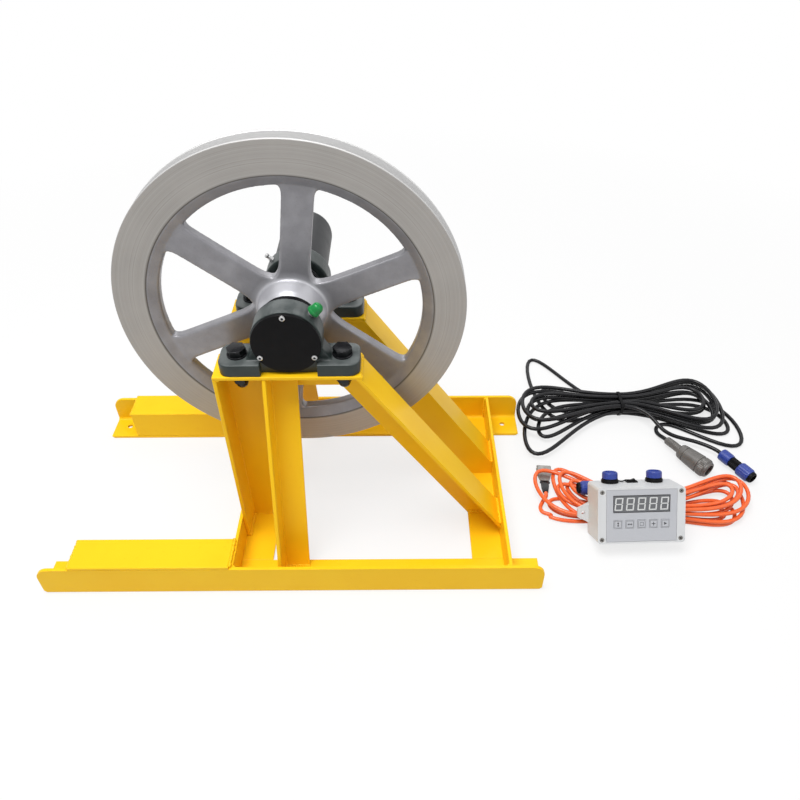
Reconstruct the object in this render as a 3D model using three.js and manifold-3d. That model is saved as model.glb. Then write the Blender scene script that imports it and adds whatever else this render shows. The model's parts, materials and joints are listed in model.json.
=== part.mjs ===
// Well depth recorder: a measuring wheel on a welded stand, its control box and two cables.
// Millimetres. X runs along the base angles, Y away from the front, Z up from the floor.
import * as THREE from "three";
import Module from "manifold-3d";
import { mergeVertices } from "three/addons/utils/BufferGeometryUtils.js";

const wasm = await Module();
wasm.setup();

// Steel angle that the stand is welded from
const angleLeg = 40;
const angleWall = 4;
const angleRoot = 4;

// Stand
const baseEnds = { front: [5, 570], rear: [7, 575] };
const crossRightX = 534;
const standDepth = 292;
const baseCornerRadius = 14;
const baseClip = 3;
const floorHoleRadius = 3.5;
const floorHoleInset = 20;
const boxCoverStart = 43;
const leftCrossX = 220;
const topLevel = 251;
const wheelBay = 142;
const footMargin = 4;
const strutFootRise = 21;
const stayInset = 53;
const stayWidth = 31;
const stayReach = 35.65;
const stayToeFoot = -1.25;
const plateHoleRadius = 5.5;

// Wheel shaft line
const axisShift = 3;
const axisRise = 36.5;
const blockInset = 20;
const shaftRadius = 12.5;
const shaftEndReach = 11;
const shaftShoulderReach = 13;
const stubRadius = 6;
const stubLength = 18;
const keyWidth = 8;
const keyHeight = 3;
const keyLength = 52;
const runningGap = 0.3;

// Pillow blocks
const footLength = 140;
const footWidth = 38;
const footHeight = 14;
const footCornerRadius = 10;
const footNeckHalf = 28;
const headRadius = 35;
const headWidth = 24;
const shoulderWidth = 20;
const shoulderTopHalf = 30;
const shoulderTopRise = 20;
const boltSpacingShare = 0.75;
const boltSlotRadius = 6.5;
const ringOuterRadius = 25.7;
const ringSplitRadius = 18;
const outerRingWidth = 17;
const innerRingWidth = 28;
const raceGap = 0.4;
const endCoverRadius = 34;
const endCoverThickness = 4;
const endCoverChamfer = 1;
const nippleRadius = 3.5;
const nippleLength = 9;
const nippleCapRadius = 6.8;
const nippleCapStand = 3;
const nippleCapLength = 11.5;
const nippleTurnDegrees = 45;

// Bolts of the blocks
const boltRadius = 5;
const hexAcrossFlats = 17;
const boltHeadHeight = 6.8;
const washerRadius = 10.2;
const washerThickness = 2;
const nutHeight = 10;
const boltEnd = 3;
// Dome of a cap nut: radius by depth under its hexagon
const nutDome = [[0, 13], [3.4, 12.1], [5.9, 9.4], [7.2, 5.6]];

// Wheel
const wheelRadius = 177.7;
const wheelWidth = 23;
const grooveRadius = 159.15;
const grooveMouth = 17;
const grooveFloor = 4;
const wheelEdge = 1;
const ringInnerRadius = 145;
const openingRadius = 133;
const webThickness = 10;
const hubRadius = 35;
const hubEndRadius = 24;
const hubShoulderRadius = 27;
const hubLength = 66;
const hubConeLength = 48;
const hubShoulderLength = 58;
const spokeCount = 6;
const spokeWidth = 30.5;
const spokeThickness = 11;
const spokeCrown = 3;
const spokeHubFlare = 21;
const spokeHubFillet = 9;
const spokeRimFlare = 19;
const spokeRimFillet = 6;
const spokeFilletStep = 1;
const spokeTurnDegrees = 7.9;

// Encoder
const encoderCoverRadius = 30;
const encoderCoverWall = 3;
const encoderCoverLength = 96;
const encoderRadius = 19;
const encoderLength = 38;
const encoderShaftRadius = 3;
const encoderShaftGrip = 6;
const encoderBoreDepth = 8;
const couplingRadius = 10;
const couplingGap = 6;
const couplingLength = 36;
const socketBossRadius = 8;
const socketBossLength = 12;
const socketBossInset = 20;

// Control box, standing on its rear lower edge and leaning back on the orange cable
const boxX = 688.6;
const boxY = 79.1;
const boxYawDegrees = 1.6;
const boxLeanDegrees = 35.1;
const boxWidth = 102;
const boxHeight = 66;
const boxDepth = 42;
const boxCorner = 4;
const lidDepth = 12;
const boxWall = 2.5;
const columnWidth = 10;
const seatGap = 0.3;
const earReach = 13;
const earThickness = 4;
const earBaseHeight = 24;
const earTipHeight = 11;
const earCentreShare = 0.424;
const earHoleRadius = 2.2;
const earHoleReach = 6.5;
const lidScrewInset = 5;
const lidScrewRadius = 2.8;
const lidScrewDepth = 1.2;
const overlayWidth = 82;
const overlayMargin = 2.5;
const overlayThickness = 0.7;
const overlayProud = 0.1;
const recessDepth = 0.9;
const displayWidth = 66;
const displayHeight = 20;
const displayTop = 9.2;
const displaySink = 0.1;
const keySize = 9.4;
const keyPitch = 13.8;
const keyRowDown = 42.9;
const keyProud = 0.6;
const keyPad = 3.6;
const keyStemRadius = 2;
const keyTravel = 0.5;
const keyCount = 5;
const boardWidth = 78;
const boardMargin = 5;
const boardThickness = 1.6;
const boardSetback = 8;
const postRadius = 1.6;
const postInset = 2.5;
const socketInset = 12;
const socketOffsets = { left: -28, right: 25 };
const socketFlangeRadius = 9.2;
const socketFlange = 2.5;
const socketNeckRadius = 6.5;
const socketRise = 9;
const socketDrop = 14;
const socketCapRadius = 9;
const socketCapHeight = 10;
const switchOffset = -2;
const switchLength = 13;
const switchWidth = 9;
const switchBezel = 1.4;
const switchBodyLength = 12;
const switchBodyWidth = 8;
const switchDrop = 12;
const rockerLength = 8.4;
const rockerWidth = 5.4;
const rockerHorn = 3.6;
const rockerDip = 2.8;
const rockerKeel = 1.4;
const rockerRoot = 2;
const rockerRootShare = 0.8;
const rockerPocketLength = 10.4;
const rockerPocketDepth = 4.5;
const rockerTiltDegrees = 9;

// Cables, both put away as hanks drawn in at the waist
const hankStep = 12;
const cordSides = 6;
const climbShare = 0.1;
const liftFade = 6;
const cordRest = 0.2;
const blackDiameter = 5.5;
const blackStep = 6.4;
const blackLayer = 6.3;
const blackCentre = [725, 302];
const blackWaistLift = 1.8;
const blackStartShare = 0.16;
const orangeDiameter = 5;
const orangeStep = 5.8;
const orangeLayer = 5.8;
const orangeCentre = [714, 107.4];
const orangeWaistLift = 0;
const orangeStartShare = 0.64;
const tieThickness = 1.2;
const tieWidth = 4;
const tieHigh = 25;
const tieLow = [-19.5, 13.5];
const tieCorner = 4;
const tieGap = 0.5;

// Plugs and clip
const plugFacets = 16;
const greyBodyStart = [786, 207.6, 13.2];
const greyBodyEnd = [812.2, 169.6, 13.2];
const greySleeve = [[776.4, 231.2, 8.8], [779.3, 224, 10.4], [782.4, 216, 12.2], [786, 207.6, 13.2]];
const greySleeveRadius = 5.4;
const greyTailRadius = 9.4;
const greyNeckRadius = 10.8;
const greyBodyRadius = 12.8;
const greyNoseRadius = 10.4;
const greyLengthShares = { neck: 0.2, groove: 0.7, grooveEnd: 0.74, nose: 0.92 };
const greyGroove = 0.8;
const blueStart = [840.4, 203.6, 10.6];
const blueEnd = [866, 157, 10.6];
const blueRadii = { nut: 9.2, waist: 7.6, ring: 10.2, tip: 8.4 };
const leadPlugRadii = { nut: 8.6, waist: 7.2, ring: 9, tip: 7.6 };
const bluePlugShares = { nut: 0.32, waist: 0.56, ring: 0.9 };
const orangePlugStart = [682, 124, 32.2];
const orangePlugEnd = [629, 124, 32.2];
const clipStart = [596, 141, 5.2];
const clipEnd = [600, 185, 5.2];
const clipHalfWidth = 6;
const clipHandleHalf = 4.6;
const clipJawHalf = 2.4;
const clipShares = { pivot: 0.4, jaw: 0.62 };

// Facets of the round pieces
const fineFacets = 60;
const roundFacets = 40;
const ringFacets = 28;
const smallFacets = 12;
const overrun = 1;

// Derived places
const half = 0.5;
const mergeDistance = 0.0001;
const midY = standDepth * half;
const topUnder = topLevel - angleWall;
const axisZ = topLevel + axisRise;
const frameFront = midY - wheelBay * half;
const frontBlockY = frameFront + blockInset;
const rearBlockY = standDepth - frontBlockY;
const webFront = frameFront + angleLeg - angleWall;
const legX = leftCrossX + angleWall;
const topEndX = legX + footLength + 2 * footMargin;
const strutSlope = (topUnder - strutFootRise) / (crossRightX - angleWall - topEndX);
const strutAngle = Math.atan(strutSlope);
const axisX = (legX + topEndX) * half + axisShift;
const boltSpacing = footLength * boltSpacingShare;
const shoulderHalf = boltSpacing * half - washerRadius - seatGap;
const stayLean = Math.atan((webFront - stayReach - stayToeFoot) / (topUnder - angleWall));
const shaftStart = frontBlockY - shaftEndReach;
const shaftShoulder = rearBlockY + shaftShoulderReach;
const couplingStart = shaftShoulder + couplingGap;
const overlayHeight = boxHeight - 2 * overlayMargin;
const boardHeight = boxHeight - 2 * boardMargin;
const earCentre = boxHeight * earCentreShare;
const hexRadius = hexAcrossFlats * half / Math.cos(Math.PI / 6);
const radians = Math.PI / 180;

// Materials
function finish(color, roughness, metalness) {
  return new THREE.MeshStandardMaterial({ color, roughness, metalness });
}
const yellowPaint = finish(0xf0b41e, 0.45, 0);
const greenIron = finish(0x3c4848, 0.5, 0.2);
const blackPlastic = finish(0x1c1c1e, 0.4, 0);
const bearingSteel = finish(0xa8acb0, 0.3, 1);
const boltBlack = finish(0x202224, 0.4, 0.6);
const zincSteel = finish(0xb8bcc0, 0.35, 0.9);
const castAluminium = finish(0x94949a, 0.45, 0.8);
const greenPlastic = finish(0x289650, 0.4, 0);
const bluePlastic = finish(0x283c96, 0.4, 0);
const whitePlastic = finish(0xe1e1e1, 0.5, 0);
const greyOverlay = finish(0xbec0c6, 0.5, 0);
const smokedWindow = finish(0x64646a, 0.2, 0);
const boardGreen = finish(0x1e5a32, 0.6, 0);
const greyPlastic = finish(0x645f5a, 0.45, 0);
const blackRubber = finish(0x232326, 0.55, 0);
const orangeRubber = finish(0xf05f28, 0.5, 0);
const clipSteel = finish(0x9a948a, 0.4, 0.9);

// Geometry helpers. Every helper gives a closed geometry whose faces point out.
function closed(geometry) {
  const bare = geometry.clone();
  for (const name of ["normal", "uv"]) bare.deleteAttribute(name);
  const merged = mergeVertices(bare, mergeDistance);
  const place = merged.getAttribute("position");
  const kept = [];
  const index = merged.getIndex().array;
  for (let i = 0; i < index.length; i += 3) {
    const [a, b, c] = [index[i], index[i + 1], index[i + 2]];
    if (a !== b && b !== c && a !== c) kept.push(a, b, c);
  }
  const corner = (i) => new THREE.Vector3().fromBufferAttribute(place, i);
  let volume = 0;
  for (let i = 0; i < kept.length; i += 3) {
    volume += corner(kept[i]).dot(corner(kept[i + 1]).cross(corner(kept[i + 2])));
  }
  if (volume < 0) kept.reverse();
  merged.setIndex(kept);
  return merged;
}

function toSolid(geometry) {
  const ready = closed(geometry);
  const vertProperties = new Float32Array(ready.getAttribute("position").array);
  const triVerts = new Uint32Array(ready.getIndex().array);
  return new wasm.Manifold(new wasm.Mesh({ numProp: 3, vertProperties, triVerts }));
}

function toGeometry(solid) {
  const mesh = solid.getMesh();
  const geometry = new THREE.BufferGeometry();
  geometry.setAttribute("position", new THREE.BufferAttribute(new Float32Array(mesh.vertProperties), 3));
  geometry.setIndex(new THREE.BufferAttribute(new Uint32Array(mesh.triVerts), 1));
  geometry.computeVertexNormals();
  return geometry;
}

function joined(...pieces) {
  return toGeometry(pieces.map(toSolid).reduce((whole, piece) => whole.add(piece)));
}

function cut(body, ...tools) {
  return toGeometry(tools.map(toSolid).reduce((whole, tool) => whole.subtract(tool), toSolid(body)));
}

function common(body, tool) {
  return toGeometry(toSolid(body).intersect(toSolid(tool)));
}

function block(low, high) {
  const size = high.map((value, i) => value - low[i]);
  const geometry = new THREE.BoxGeometry(...size);
  return geometry.translate(...low.map((value, i) => value + size[i] * half));
}

// A prism of an outline: along x its points are (y, z), along y (x, z), along z (x, y)
function prism(outline, axis, from, to) {
  const drawn = outline instanceof THREE.Shape;
  const shape = drawn ? outline : new THREE.Shape(outline.map((p) => new THREE.Vector2(...p)));
  const depth = to - from;
  const geometry = new THREE.ExtrudeGeometry(shape, { depth, bevelEnabled: false, curveSegments: 4 });
  const turn = new THREE.Matrix4();
  const [x, y, z] = [new THREE.Vector3(1, 0, 0), new THREE.Vector3(0, 1, 0), new THREE.Vector3(0, 0, 1)];
  if (axis === "x") geometry.applyMatrix4(turn.makeBasis(y, z, x)).translate(from, 0, 0);
  if (axis === "y") geometry.applyMatrix4(turn.makeBasis(x, z, y.negate())).translate(0, to, 0);
  if (axis === "z") geometry.translate(0, 0, from);
  return geometry;
}

function roundedOutline(x0, x1, y0, y1, radius) {
  const shape = new THREE.Shape();
  shape.moveTo(x0 + radius, y0);
  shape.lineTo(x1 - radius, y0);
  shape.absarc(x1 - radius, y0 + radius, radius, -Math.PI * half, 0, false);
  shape.absarc(x1 - radius, y1 - radius, radius, 0, Math.PI * half, false);
  shape.absarc(x0 + radius, y1 - radius, radius, Math.PI * half, Math.PI, false);
  shape.absarc(x0 + radius, y0 + radius, radius, Math.PI, Math.PI * (1 + half), false);
  return shape;
}

// A solid of revolution about a line along +Y, from points (radius, place along the line)
function turned(profile, facets = roundFacets) {
  return closed(new THREE.LatheGeometry(profile.map((p) => new THREE.Vector2(...p)), facets));
}

function rod(radius, from, to, facets = smallFacets) {
  return turned([[0, from], [radius, from], [radius, to], [0, to]], facets);
}

function tubeRing(inner, outer, from, to, facets = ringFacets) {
  return turned([[inner, from], [outer, from], [outer, to], [inner, to], [inner, from]], facets);
}

// Turns a piece made along +Y so that it runs along another direction from a place
function aimed(geometry, direction, place) {
  const made = new THREE.Vector3(0, 1, 0);
  const turn = new THREE.Quaternion().setFromUnitVectors(made, direction.clone().normalize());
  return geometry.applyQuaternion(turn).translate(...place.toArray());
}

const upward = new THREE.Vector3(0, 0, 1);
const vector = (p) => new THREE.Vector3(...p);

// The same piece on the other side of the stand's middle plane
function mirrored(geometry) {
  const copy = closed(geometry).applyMatrix4(new THREE.Matrix4().makeScale(1, -1, 1));
  return closed(copy.translate(0, standDepth, 0));
}

function addMesh(group, name, geometry, material) {
  const mesh = new THREE.Mesh(geometry, material);
  mesh.name = name;
  group.add(mesh);
  return mesh;
}

// Equal angle section with its corner at the origin and its legs along +a and +b
function angleOutline(legA, legB, wall) {
  const shape = new THREE.Shape();
  shape.moveTo(0, 0);
  shape.lineTo(legA, 0);
  shape.lineTo(legA, wall);
  shape.lineTo(wall + angleRoot, wall);
  shape.absarc(wall + angleRoot, wall + angleRoot, angleRoot, Math.PI * (1 + half), Math.PI, true);
  shape.lineTo(wall, legB);
  shape.lineTo(0, legB);
  return shape;
}

// Front base angle: one leg upright at the front, the other on the floor
function baseAngle([start, end]) {
  const bar = prism(angleOutline(angleLeg, angleLeg, angleWall), "x", start, end);
  const side = new THREE.Shape();
  side.moveTo(start + baseClip, 0);
  side.lineTo(end - baseClip, 0);
  side.lineTo(end, baseClip);
  const cornerZ = angleLeg - baseCornerRadius;
  side.absarc(end - baseCornerRadius, cornerZ, baseCornerRadius, 0, Math.PI * half, false);
  side.absarc(start + baseCornerRadius, cornerZ, baseCornerRadius, Math.PI * half, Math.PI, false);
  side.lineTo(start, baseClip);
  const trimmed = common(bar, prism(side, "y", -overrun, angleLeg + overrun));
  const drill = () => rod(floorHoleRadius, -overrun, angleWall + overrun);
  const hole = (x) => aimed(drill(), upward, vector([x, floorHoleInset, 0]));
  return cut(trimmed, hole(start + floorHoleInset), hole(end - floorHoleInset));
}

// What a bar set into the front base angle is cut away by: its root, and its upright leg if asked
function baseCope(from, to, past) {
  const root = angleWall + angleRoot;
  const face = angleWall + past;
  const outline = [
    [-angleLeg, 0], [root + 2 * seatGap, 0], [root + 2 * seatGap, angleWall], [face, root + seatGap],
    [face, angleLeg + seatGap], [-angleLeg, angleLeg + seatGap],
  ];
  return prism(outline, "x", from - overrun, to + overrun);
}

// Inverted angle that closes the base section from its left part up to the left cross angle
function boxCover() {
  const top = angleLeg + angleWall;
  const outline = [
    [0, angleLeg], [angleLeg - angleWall, angleLeg], [angleLeg - angleWall, angleWall],
    [angleLeg, angleWall], [angleLeg, top], [0, top],
  ];
  return prism(outline, "x", boxCoverStart, leftCrossX);
}

// Cross angle: its upright leg reaches both base angles, its floor leg lies between theirs
function crossAngle(outerX, inward) {
  const wallX = outerX + inward * angleWall;
  const legEnd = outerX + inward * angleLeg;
  const sorted = (a, b) => [Math.min(a, b), Math.max(a, b)];
  const [w0, w1] = sorted(outerX, wallX);
  const [f0, f1] = sorted(outerX, legEnd);
  const upright = block([w0, angleWall, angleWall], [w1, standDepth - angleWall, angleLeg]);
  const floorLeg = block([f0, angleLeg, 0], [f1, standDepth - angleLeg, angleWall]);
  const cope = baseCope(w0, w1, 0);
  return cut(joined(upright, floorLeg), cope, mirrored(cope));
}

// Upright angle at the left of a side frame, standing on the cross angle's floor leg
function frameLeg() {
  const outline = [
    [legX, frameFront], [legX + angleWall, frameFront], [legX + angleWall, webFront],
    [legX + angleLeg, webFront], [legX + angleLeg, webFront + angleWall], [legX, webFront + angleWall],
  ];
  return prism(outline, "z", angleWall, topUnder);
}

// Sloping strut, in the plane of the side frame: x along the frame, z up
function strutLine(offset) {
  const shiftX = offset / Math.sin(strutAngle);
  const footX = crossRightX - angleWall;
  return {
    top: [topEndX - shiftX, topUnder],
    at: (x) => topUnder - (x + shiftX - topEndX) * strutSlope,
    footX,
  };
}

// Top angle: the flat leg carries the pillow block, the other hangs on the wheel's side
function topAngle() {
  const plate = block([legX, frameFront, topUnder], [topEndX, frameFront + angleLeg, topLevel]);
  const inner = strutLine(angleLeg);
  const webLow = topLevel - angleLeg;
  const webEnd = inner.top[0] + (topUnder - webLow) / strutSlope;
  const web = prism(
    [[legX + angleLeg, webLow], [webEnd, webLow], inner.top, [legX + angleLeg, topUnder]],
    "y", webFront, webFront + angleWall,
  );
  const hole = (side) => aimed(
    rod(plateHoleRadius, topUnder - overrun, topLevel + overrun), upward,
    vector([axisX + side * boltSpacing * half, frontBlockY, 0]),
  );
  return cut(joined(plate, web), hole(-1), hole(1));
}

// Strut: its outer leg faces up the slope, its web lies on the wheel's side
function frameStrut() {
  const outer = strutLine(0);
  const inside = strutLine(angleWall);
  const inner = strutLine(angleLeg);
  const cheekX = outer.footX;
  const footX = cheekX - angleLeg + angleWall;
  const flange = prism(
    [outer.top, inside.top, [cheekX, inside.at(cheekX)], [cheekX, outer.at(cheekX)]],
    "y", frameFront, frameFront + angleLeg,
  );
  const lowEnd = Math.min(cheekX, inside.top[0] + (topUnder - angleWall) / strutSlope);
  const web = prism(
    [
      inside.top, inner.top, [footX, inner.at(footX)],
      [footX, angleWall], [lowEnd, angleWall], [cheekX, inside.at(cheekX)],
    ],
    "y", webFront, webFront + angleWall,
  );
  return joined(flange, web);
}

// Middle stay: an angle that leans out from under the top angle to the base angle's floor leg
function frameStay() {
  const lean = Math.tan(stayLean);
  const deep = stayReach;
  const skin = angleWall / Math.cos(stayLean);
  const x0 = leftCrossX + stayInset;
  const toe = (z) => webFront - deep - (topUnder - z) * lean;
  const cheek = prism(
    [
      [toe(topUnder), topUnder], [toe(angleWall), angleWall],
      [toe(angleWall) + deep, angleWall], [toe(topUnder) + deep, topUnder],
    ],
    "x", x0, x0 + angleWall,
  );
  const front = (z) => toe(z) + deep - skin;
  const face = prism(
    [
      [front(topUnder), topUnder], [front(angleWall), angleWall],
      [toe(angleWall) + deep, angleWall], [toe(topUnder) + deep, topUnder],
    ],
    "x", x0, x0 + stayWidth,
  );
  return cut(joined(cheek, face), baseCope(x0, x0 + stayWidth, seatGap));
}

function addStand(machine) {
  const stand = new THREE.Group();
  const pairs = {
    box_cover: boxCover(),
    frame_leg: frameLeg(),
    top_angle: topAngle(),
    frame_strut: frameStrut(),
    frame_stay: frameStay(),
  };
  for (const [name, geometry] of Object.entries(pairs)) {
    addMesh(stand, `front_${name}`, geometry, yellowPaint);
    addMesh(stand, `rear_${name}`, mirrored(geometry), yellowPaint);
  }
  addMesh(stand, "front_base_angle", baseAngle(baseEnds.front), yellowPaint);
  addMesh(stand, "rear_base_angle", mirrored(baseAngle(baseEnds.rear)), yellowPaint);
  addMesh(stand, "left_cross_angle", crossAngle(leftCrossX, 1), yellowPaint);
  addMesh(stand, "right_cross_angle", crossAngle(crossRightX, -1), yellowPaint);
  machine.add(stand);
}

// Pillow block housing, made about the shaft line with y = 0 at its middle
function blockHousing() {
  const soleZ = -axisRise;
  const footTop = soleZ + footHeight;
  const foot = prism(
    roundedOutline(
      -footLength * half, footLength * half, -footWidth * half, footWidth * half, footCornerRadius,
    ),
    "z", soleZ, footTop,
  );
  const shoulder = prism(
    [
      [-shoulderHalf, footTop], [shoulderHalf, footTop],
      [shoulderTopHalf, footTop + shoulderTopRise], [-shoulderTopHalf, footTop + shoulderTopRise],
    ],
    "y", -shoulderWidth * half, shoulderWidth * half,
  );
  const head = rod(headRadius, -headWidth * half, headWidth * half, roundFacets);
  const bore = rod(ringOuterRadius + runningGap, -headWidth, headWidth, roundFacets);
  const slot = (side) => aimed(
    rod(boltSlotRadius, soleZ - overrun, footTop + overrun), upward,
    vector([side * boltSpacing * half, 0, 0]),
  );
  const neck = (side) => block(
    [-footNeckHalf, side > 0 ? headWidth * half : -footWidth, soleZ - overrun],
    [footNeckHalf, side > 0 ? footWidth : -headWidth * half, footTop + overrun],
  );
  const belowSole = block([-footLength, -footLength, -footLength], [footLength, footLength, soleZ]);
  return cut(joined(foot, shoulder, head), bore, slot(-1), slot(1), neck(-1), neck(1), belowSole);
}

function hexBolt() {
  const top = footHeight + washerThickness;
  const head = new THREE.CylinderGeometry(hexRadius, hexRadius, boltHeadHeight, 6);
  head.translate(0, top + boltHeadHeight * half, 0);
  const washer = rod(washerRadius, footHeight, top, roundFacets * half);
  const shank = rod(boltRadius, -angleWall - nutHeight - boltEnd, top + overrun);
  return joined(head, washer, shank);
}

// Cap nut: a hexagon under the top angle, closed below by a dome that hides the bolt's end
function capNut() {
  const under = -angleWall - nutHeight;
  const nut = new THREE.CylinderGeometry(hexRadius, hexRadius, nutHeight, 6);
  nut.translate(0, under + nutHeight * half, 0);
  const widest = nutDome[nutDome.length - 1][0];
  const skin = nutDome.map(([radius, down]) => [radius, under - down]);
  const dome = turned([...skin, [widest, under + overrun], [0, under + overrun]], smallFacets);
  const bore = rod(boltRadius + runningGap, under - boltEnd - runningGap, overrun);
  return cut(joined(nut, dome), bore);
}

function greaseNipple() {
  const start = headRadius + runningGap;
  return rod(nippleRadius, start, start + nippleLength);
}

function nippleCap() {
  const start = headRadius + nippleCapStand;
  const end = start + nippleCapLength;
  const hollow = headRadius + nippleLength + 2 * runningGap;
  const inner = nippleRadius + runningGap;
  return turned(
    [
      [inner, start], [nippleCapRadius, start], [nippleCapRadius, end - nippleRadius], [nippleRadius, end],
      [0, end], [0, hollow], [inner, hollow], [inner, start],
    ],
    smallFacets,
  );
}

// One pillow block with its rings, nipple, bolts and nuts
function addBlock(machine, side, blockY, turnSign) {
  const group = new THREE.Group();
  group.position.set(axisX, blockY, axisZ);
  addMesh(group, `${side}_bearing_housing`, blockHousing(), greenIron);
  const outerHalf = outerRingWidth * half;
  const outer = tubeRing(ringSplitRadius + raceGap, ringOuterRadius, -outerHalf, outerHalf);
  addMesh(group, `${side}_bearing_outer_ring`, outer, bearingSteel);
  const nippleAngle = nippleTurnDegrees * radians * turnSign;
  const nippleAim = new THREE.Vector3(Math.sin(nippleAngle), 0, Math.cos(nippleAngle));
  const centre = new THREE.Vector3();
  addMesh(group, `${side}_grease_nipple`, aimed(greaseNipple(), nippleAim, centre), zincSteel);
  if (turnSign > 0) addMesh(group, "grease_nipple_cap", aimed(nippleCap(), nippleAim, centre), greenPlastic);
  for (const [name, sign] of [["left", -1], ["right", 1]]) {
    const place = vector([sign * boltSpacing * half, 0, -axisRise]);
    addMesh(group, `${side}_${name}_bolt`, aimed(hexBolt(), upward, place), boltBlack);
    addMesh(group, `${side}_${name}_nut`, aimed(capNut(), upward, place), boltBlack);
  }
  machine.add(group);
}

// Rim and web ring of the wheel, about y = 0 at the wheel's middle
function wheelRim() {
  const side = wheelWidth * half;
  const mouth = grooveMouth * half;
  const floor = grooveFloor * half;
  const web = webThickness * half;
  const shell = [
    [ringInnerRadius, -side], [wheelRadius - wheelEdge, -side], [wheelRadius, -side + wheelEdge],
    [wheelRadius, -mouth], [grooveRadius, -floor], [grooveRadius, floor], [wheelRadius, mouth],
    [wheelRadius, side - wheelEdge], [wheelRadius - wheelEdge, side], [ringInnerRadius, side],
    [openingRadius, web], [openingRadius, -web], [ringInnerRadius, -side],
  ];
  return turned(shell, fineFacets);
}

function wheelHub() {
  const end = hubLength * half;
  const shoulder = hubShoulderLength * half;
  const cone = hubConeLength * half;
  const web = webThickness * half;
  return turned([
    [0, -end], [hubEndRadius, -end], [hubShoulderRadius, -shoulder], [hubRadius - wheelEdge, -cone * half],
    [hubRadius, -web], [hubRadius, web], [hubRadius - wheelEdge, cone * half],
    [hubShoulderRadius, shoulder], [hubEndRadius, end], [0, end],
  ]);
}

// One spoke along +z: widened where it runs into the hub and the rim, with bevelled edges
function wheelSpoke() {
  const narrow = spokeWidth * half - spokeCrown;
  const reach = openingRadius + spokeCrown;
  const outline = [
    [hubRadius * half, spokeHubFlare], [hubRadius, spokeHubFlare - spokeCrown],
    [hubRadius + spokeHubFillet, narrow + spokeFilletStep],
    [hubRadius + hubEndRadius, narrow], [openingRadius - hubEndRadius, narrow],
    [openingRadius - spokeRimFillet, narrow + spokeFilletStep], [reach, spokeRimFlare],
  ];
  const shape = new THREE.Shape();
  outline.forEach(([along, wide], i) => (i ? shape.lineTo(wide, along) : shape.moveTo(wide, along)));
  outline.slice().reverse().forEach(([along, wide]) => shape.lineTo(-wide, along));
  const flat = spokeThickness - 2 * spokeCrown;
  const geometry = new THREE.ExtrudeGeometry(shape, {
    depth: flat, bevelEnabled: true, bevelThickness: spokeCrown, bevelSize: spokeCrown, bevelSegments: 1,
  });
  geometry.translate(0, 0, -flat * half);
  const [x, z, back] = [new THREE.Vector3(1, 0, 0), new THREE.Vector3(0, 0, 1), new THREE.Vector3(0, -1, 0)];
  return geometry.applyMatrix4(new THREE.Matrix4().makeBasis(x, z, back));
}

function measuringWheel() {
  const spokes = [];
  for (let i = 0; i < spokeCount; i += 1) {
    const turn = (spokeTurnDegrees + i * 360 / spokeCount) * radians;
    spokes.push(wheelSpoke().rotateY(turn));
  }
  const body = joined(wheelRim(), wheelHub(), ...spokes);
  const bore = rod(shaftRadius + runningGap, -hubLength, hubLength, roundFacets);
  const keyHalf = keyWidth * half + runningGap;
  const keyTop = shaftRadius + keyHeight + runningGap;
  const keyway = block([-keyHalf, -hubLength, 0], [keyHalf, hubLength, keyTop]);
  return cut(body, bore, keyway);
}

// Shaft with its key, from the front bearing to the stub in the encoder coupling
function wheelShaft() {
  const stubEnd = shaftShoulder + stubLength;
  const body = turned([
    [0, shaftStart], [shaftRadius, shaftStart], [shaftRadius, shaftShoulder],
    [stubRadius, shaftShoulder], [stubRadius, stubEnd], [0, stubEnd],
  ]);
  const keyHalf = keyWidth * half;
  const keyReach = keyLength * half;
  const key = block([-keyHalf, midY - keyReach, 0], [keyHalf, midY + keyReach, shaftRadius + keyHeight]);
  return joined(body, key);
}

// Flexible coupling with the encoder's own thin shaft in its rear end
function encoderCoupling() {
  const inner = stubRadius + runningGap;
  const hole = shaftShoulder + stubLength + runningGap;
  const end = couplingStart + couplingLength;
  const shaftEnd = end + encoderLength * half - encoderShaftGrip;
  return turned([
    [0, hole], [inner, hole], [inner, couplingStart], [couplingRadius, couplingStart],
    [couplingRadius, end], [encoderShaftRadius, end], [encoderShaftRadius, shaftEnd], [0, shaftEnd],
  ], roundFacets * half);
}

function addRotor(machine) {
  const rotor = new THREE.Group();
  rotor.position.set(axisX, 0, axisZ);
  addMesh(rotor, "measuring_wheel", measuringWheel(), castAluminium).position.y = midY;
  addMesh(rotor, "wheel_shaft", wheelShaft(), bearingSteel);
  const ring = tubeRing(shaftRadius + runningGap, ringSplitRadius, shaftStart, shaftStart + innerRingWidth);
  addMesh(rotor, "front_bearing_inner_ring", ring, bearingSteel);
  addMesh(rotor, "rear_bearing_inner_ring", mirrored(ring), bearingSteel);
  addMesh(rotor, "encoder_coupling", encoderCoupling(), castAluminium);
  machine.add(rotor);
}

function endCover() {
  const back = frontBlockY - headWidth * half;
  const front = back - endCoverThickness;
  return turned([
    [0, front], [endCoverRadius - endCoverChamfer, front], [endCoverRadius, front + endCoverChamfer],
    [endCoverRadius, back], [0, back],
  ]);
}

// Cup over the encoder, on the rear block's outer face, with the boss of its cable socket below
function encoderCover() {
  const start = rearBlockY + headWidth * half;
  const end = start + encoderCoverLength;
  const inner = encoderCoverRadius - encoderCoverWall;
  const cup = turned([
    [inner, start], [encoderCoverRadius, start], [encoderCoverRadius, end - encoderCoverWall],
    [encoderCoverRadius - encoderCoverWall, end], [0, end], [0, end - encoderCoverWall],
    [inner, end - encoderCoverWall], [inner, start],
  ]);
  const bossTop = encoderCoverRadius - encoderCoverWall * half;
  const boss = aimed(
    rod(socketBossRadius, bossTop, bossTop + socketBossLength), upward.clone().negate(),
    vector([0, end - socketBossInset, 0]),
  );
  return joined(cup, boss);
}

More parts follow.
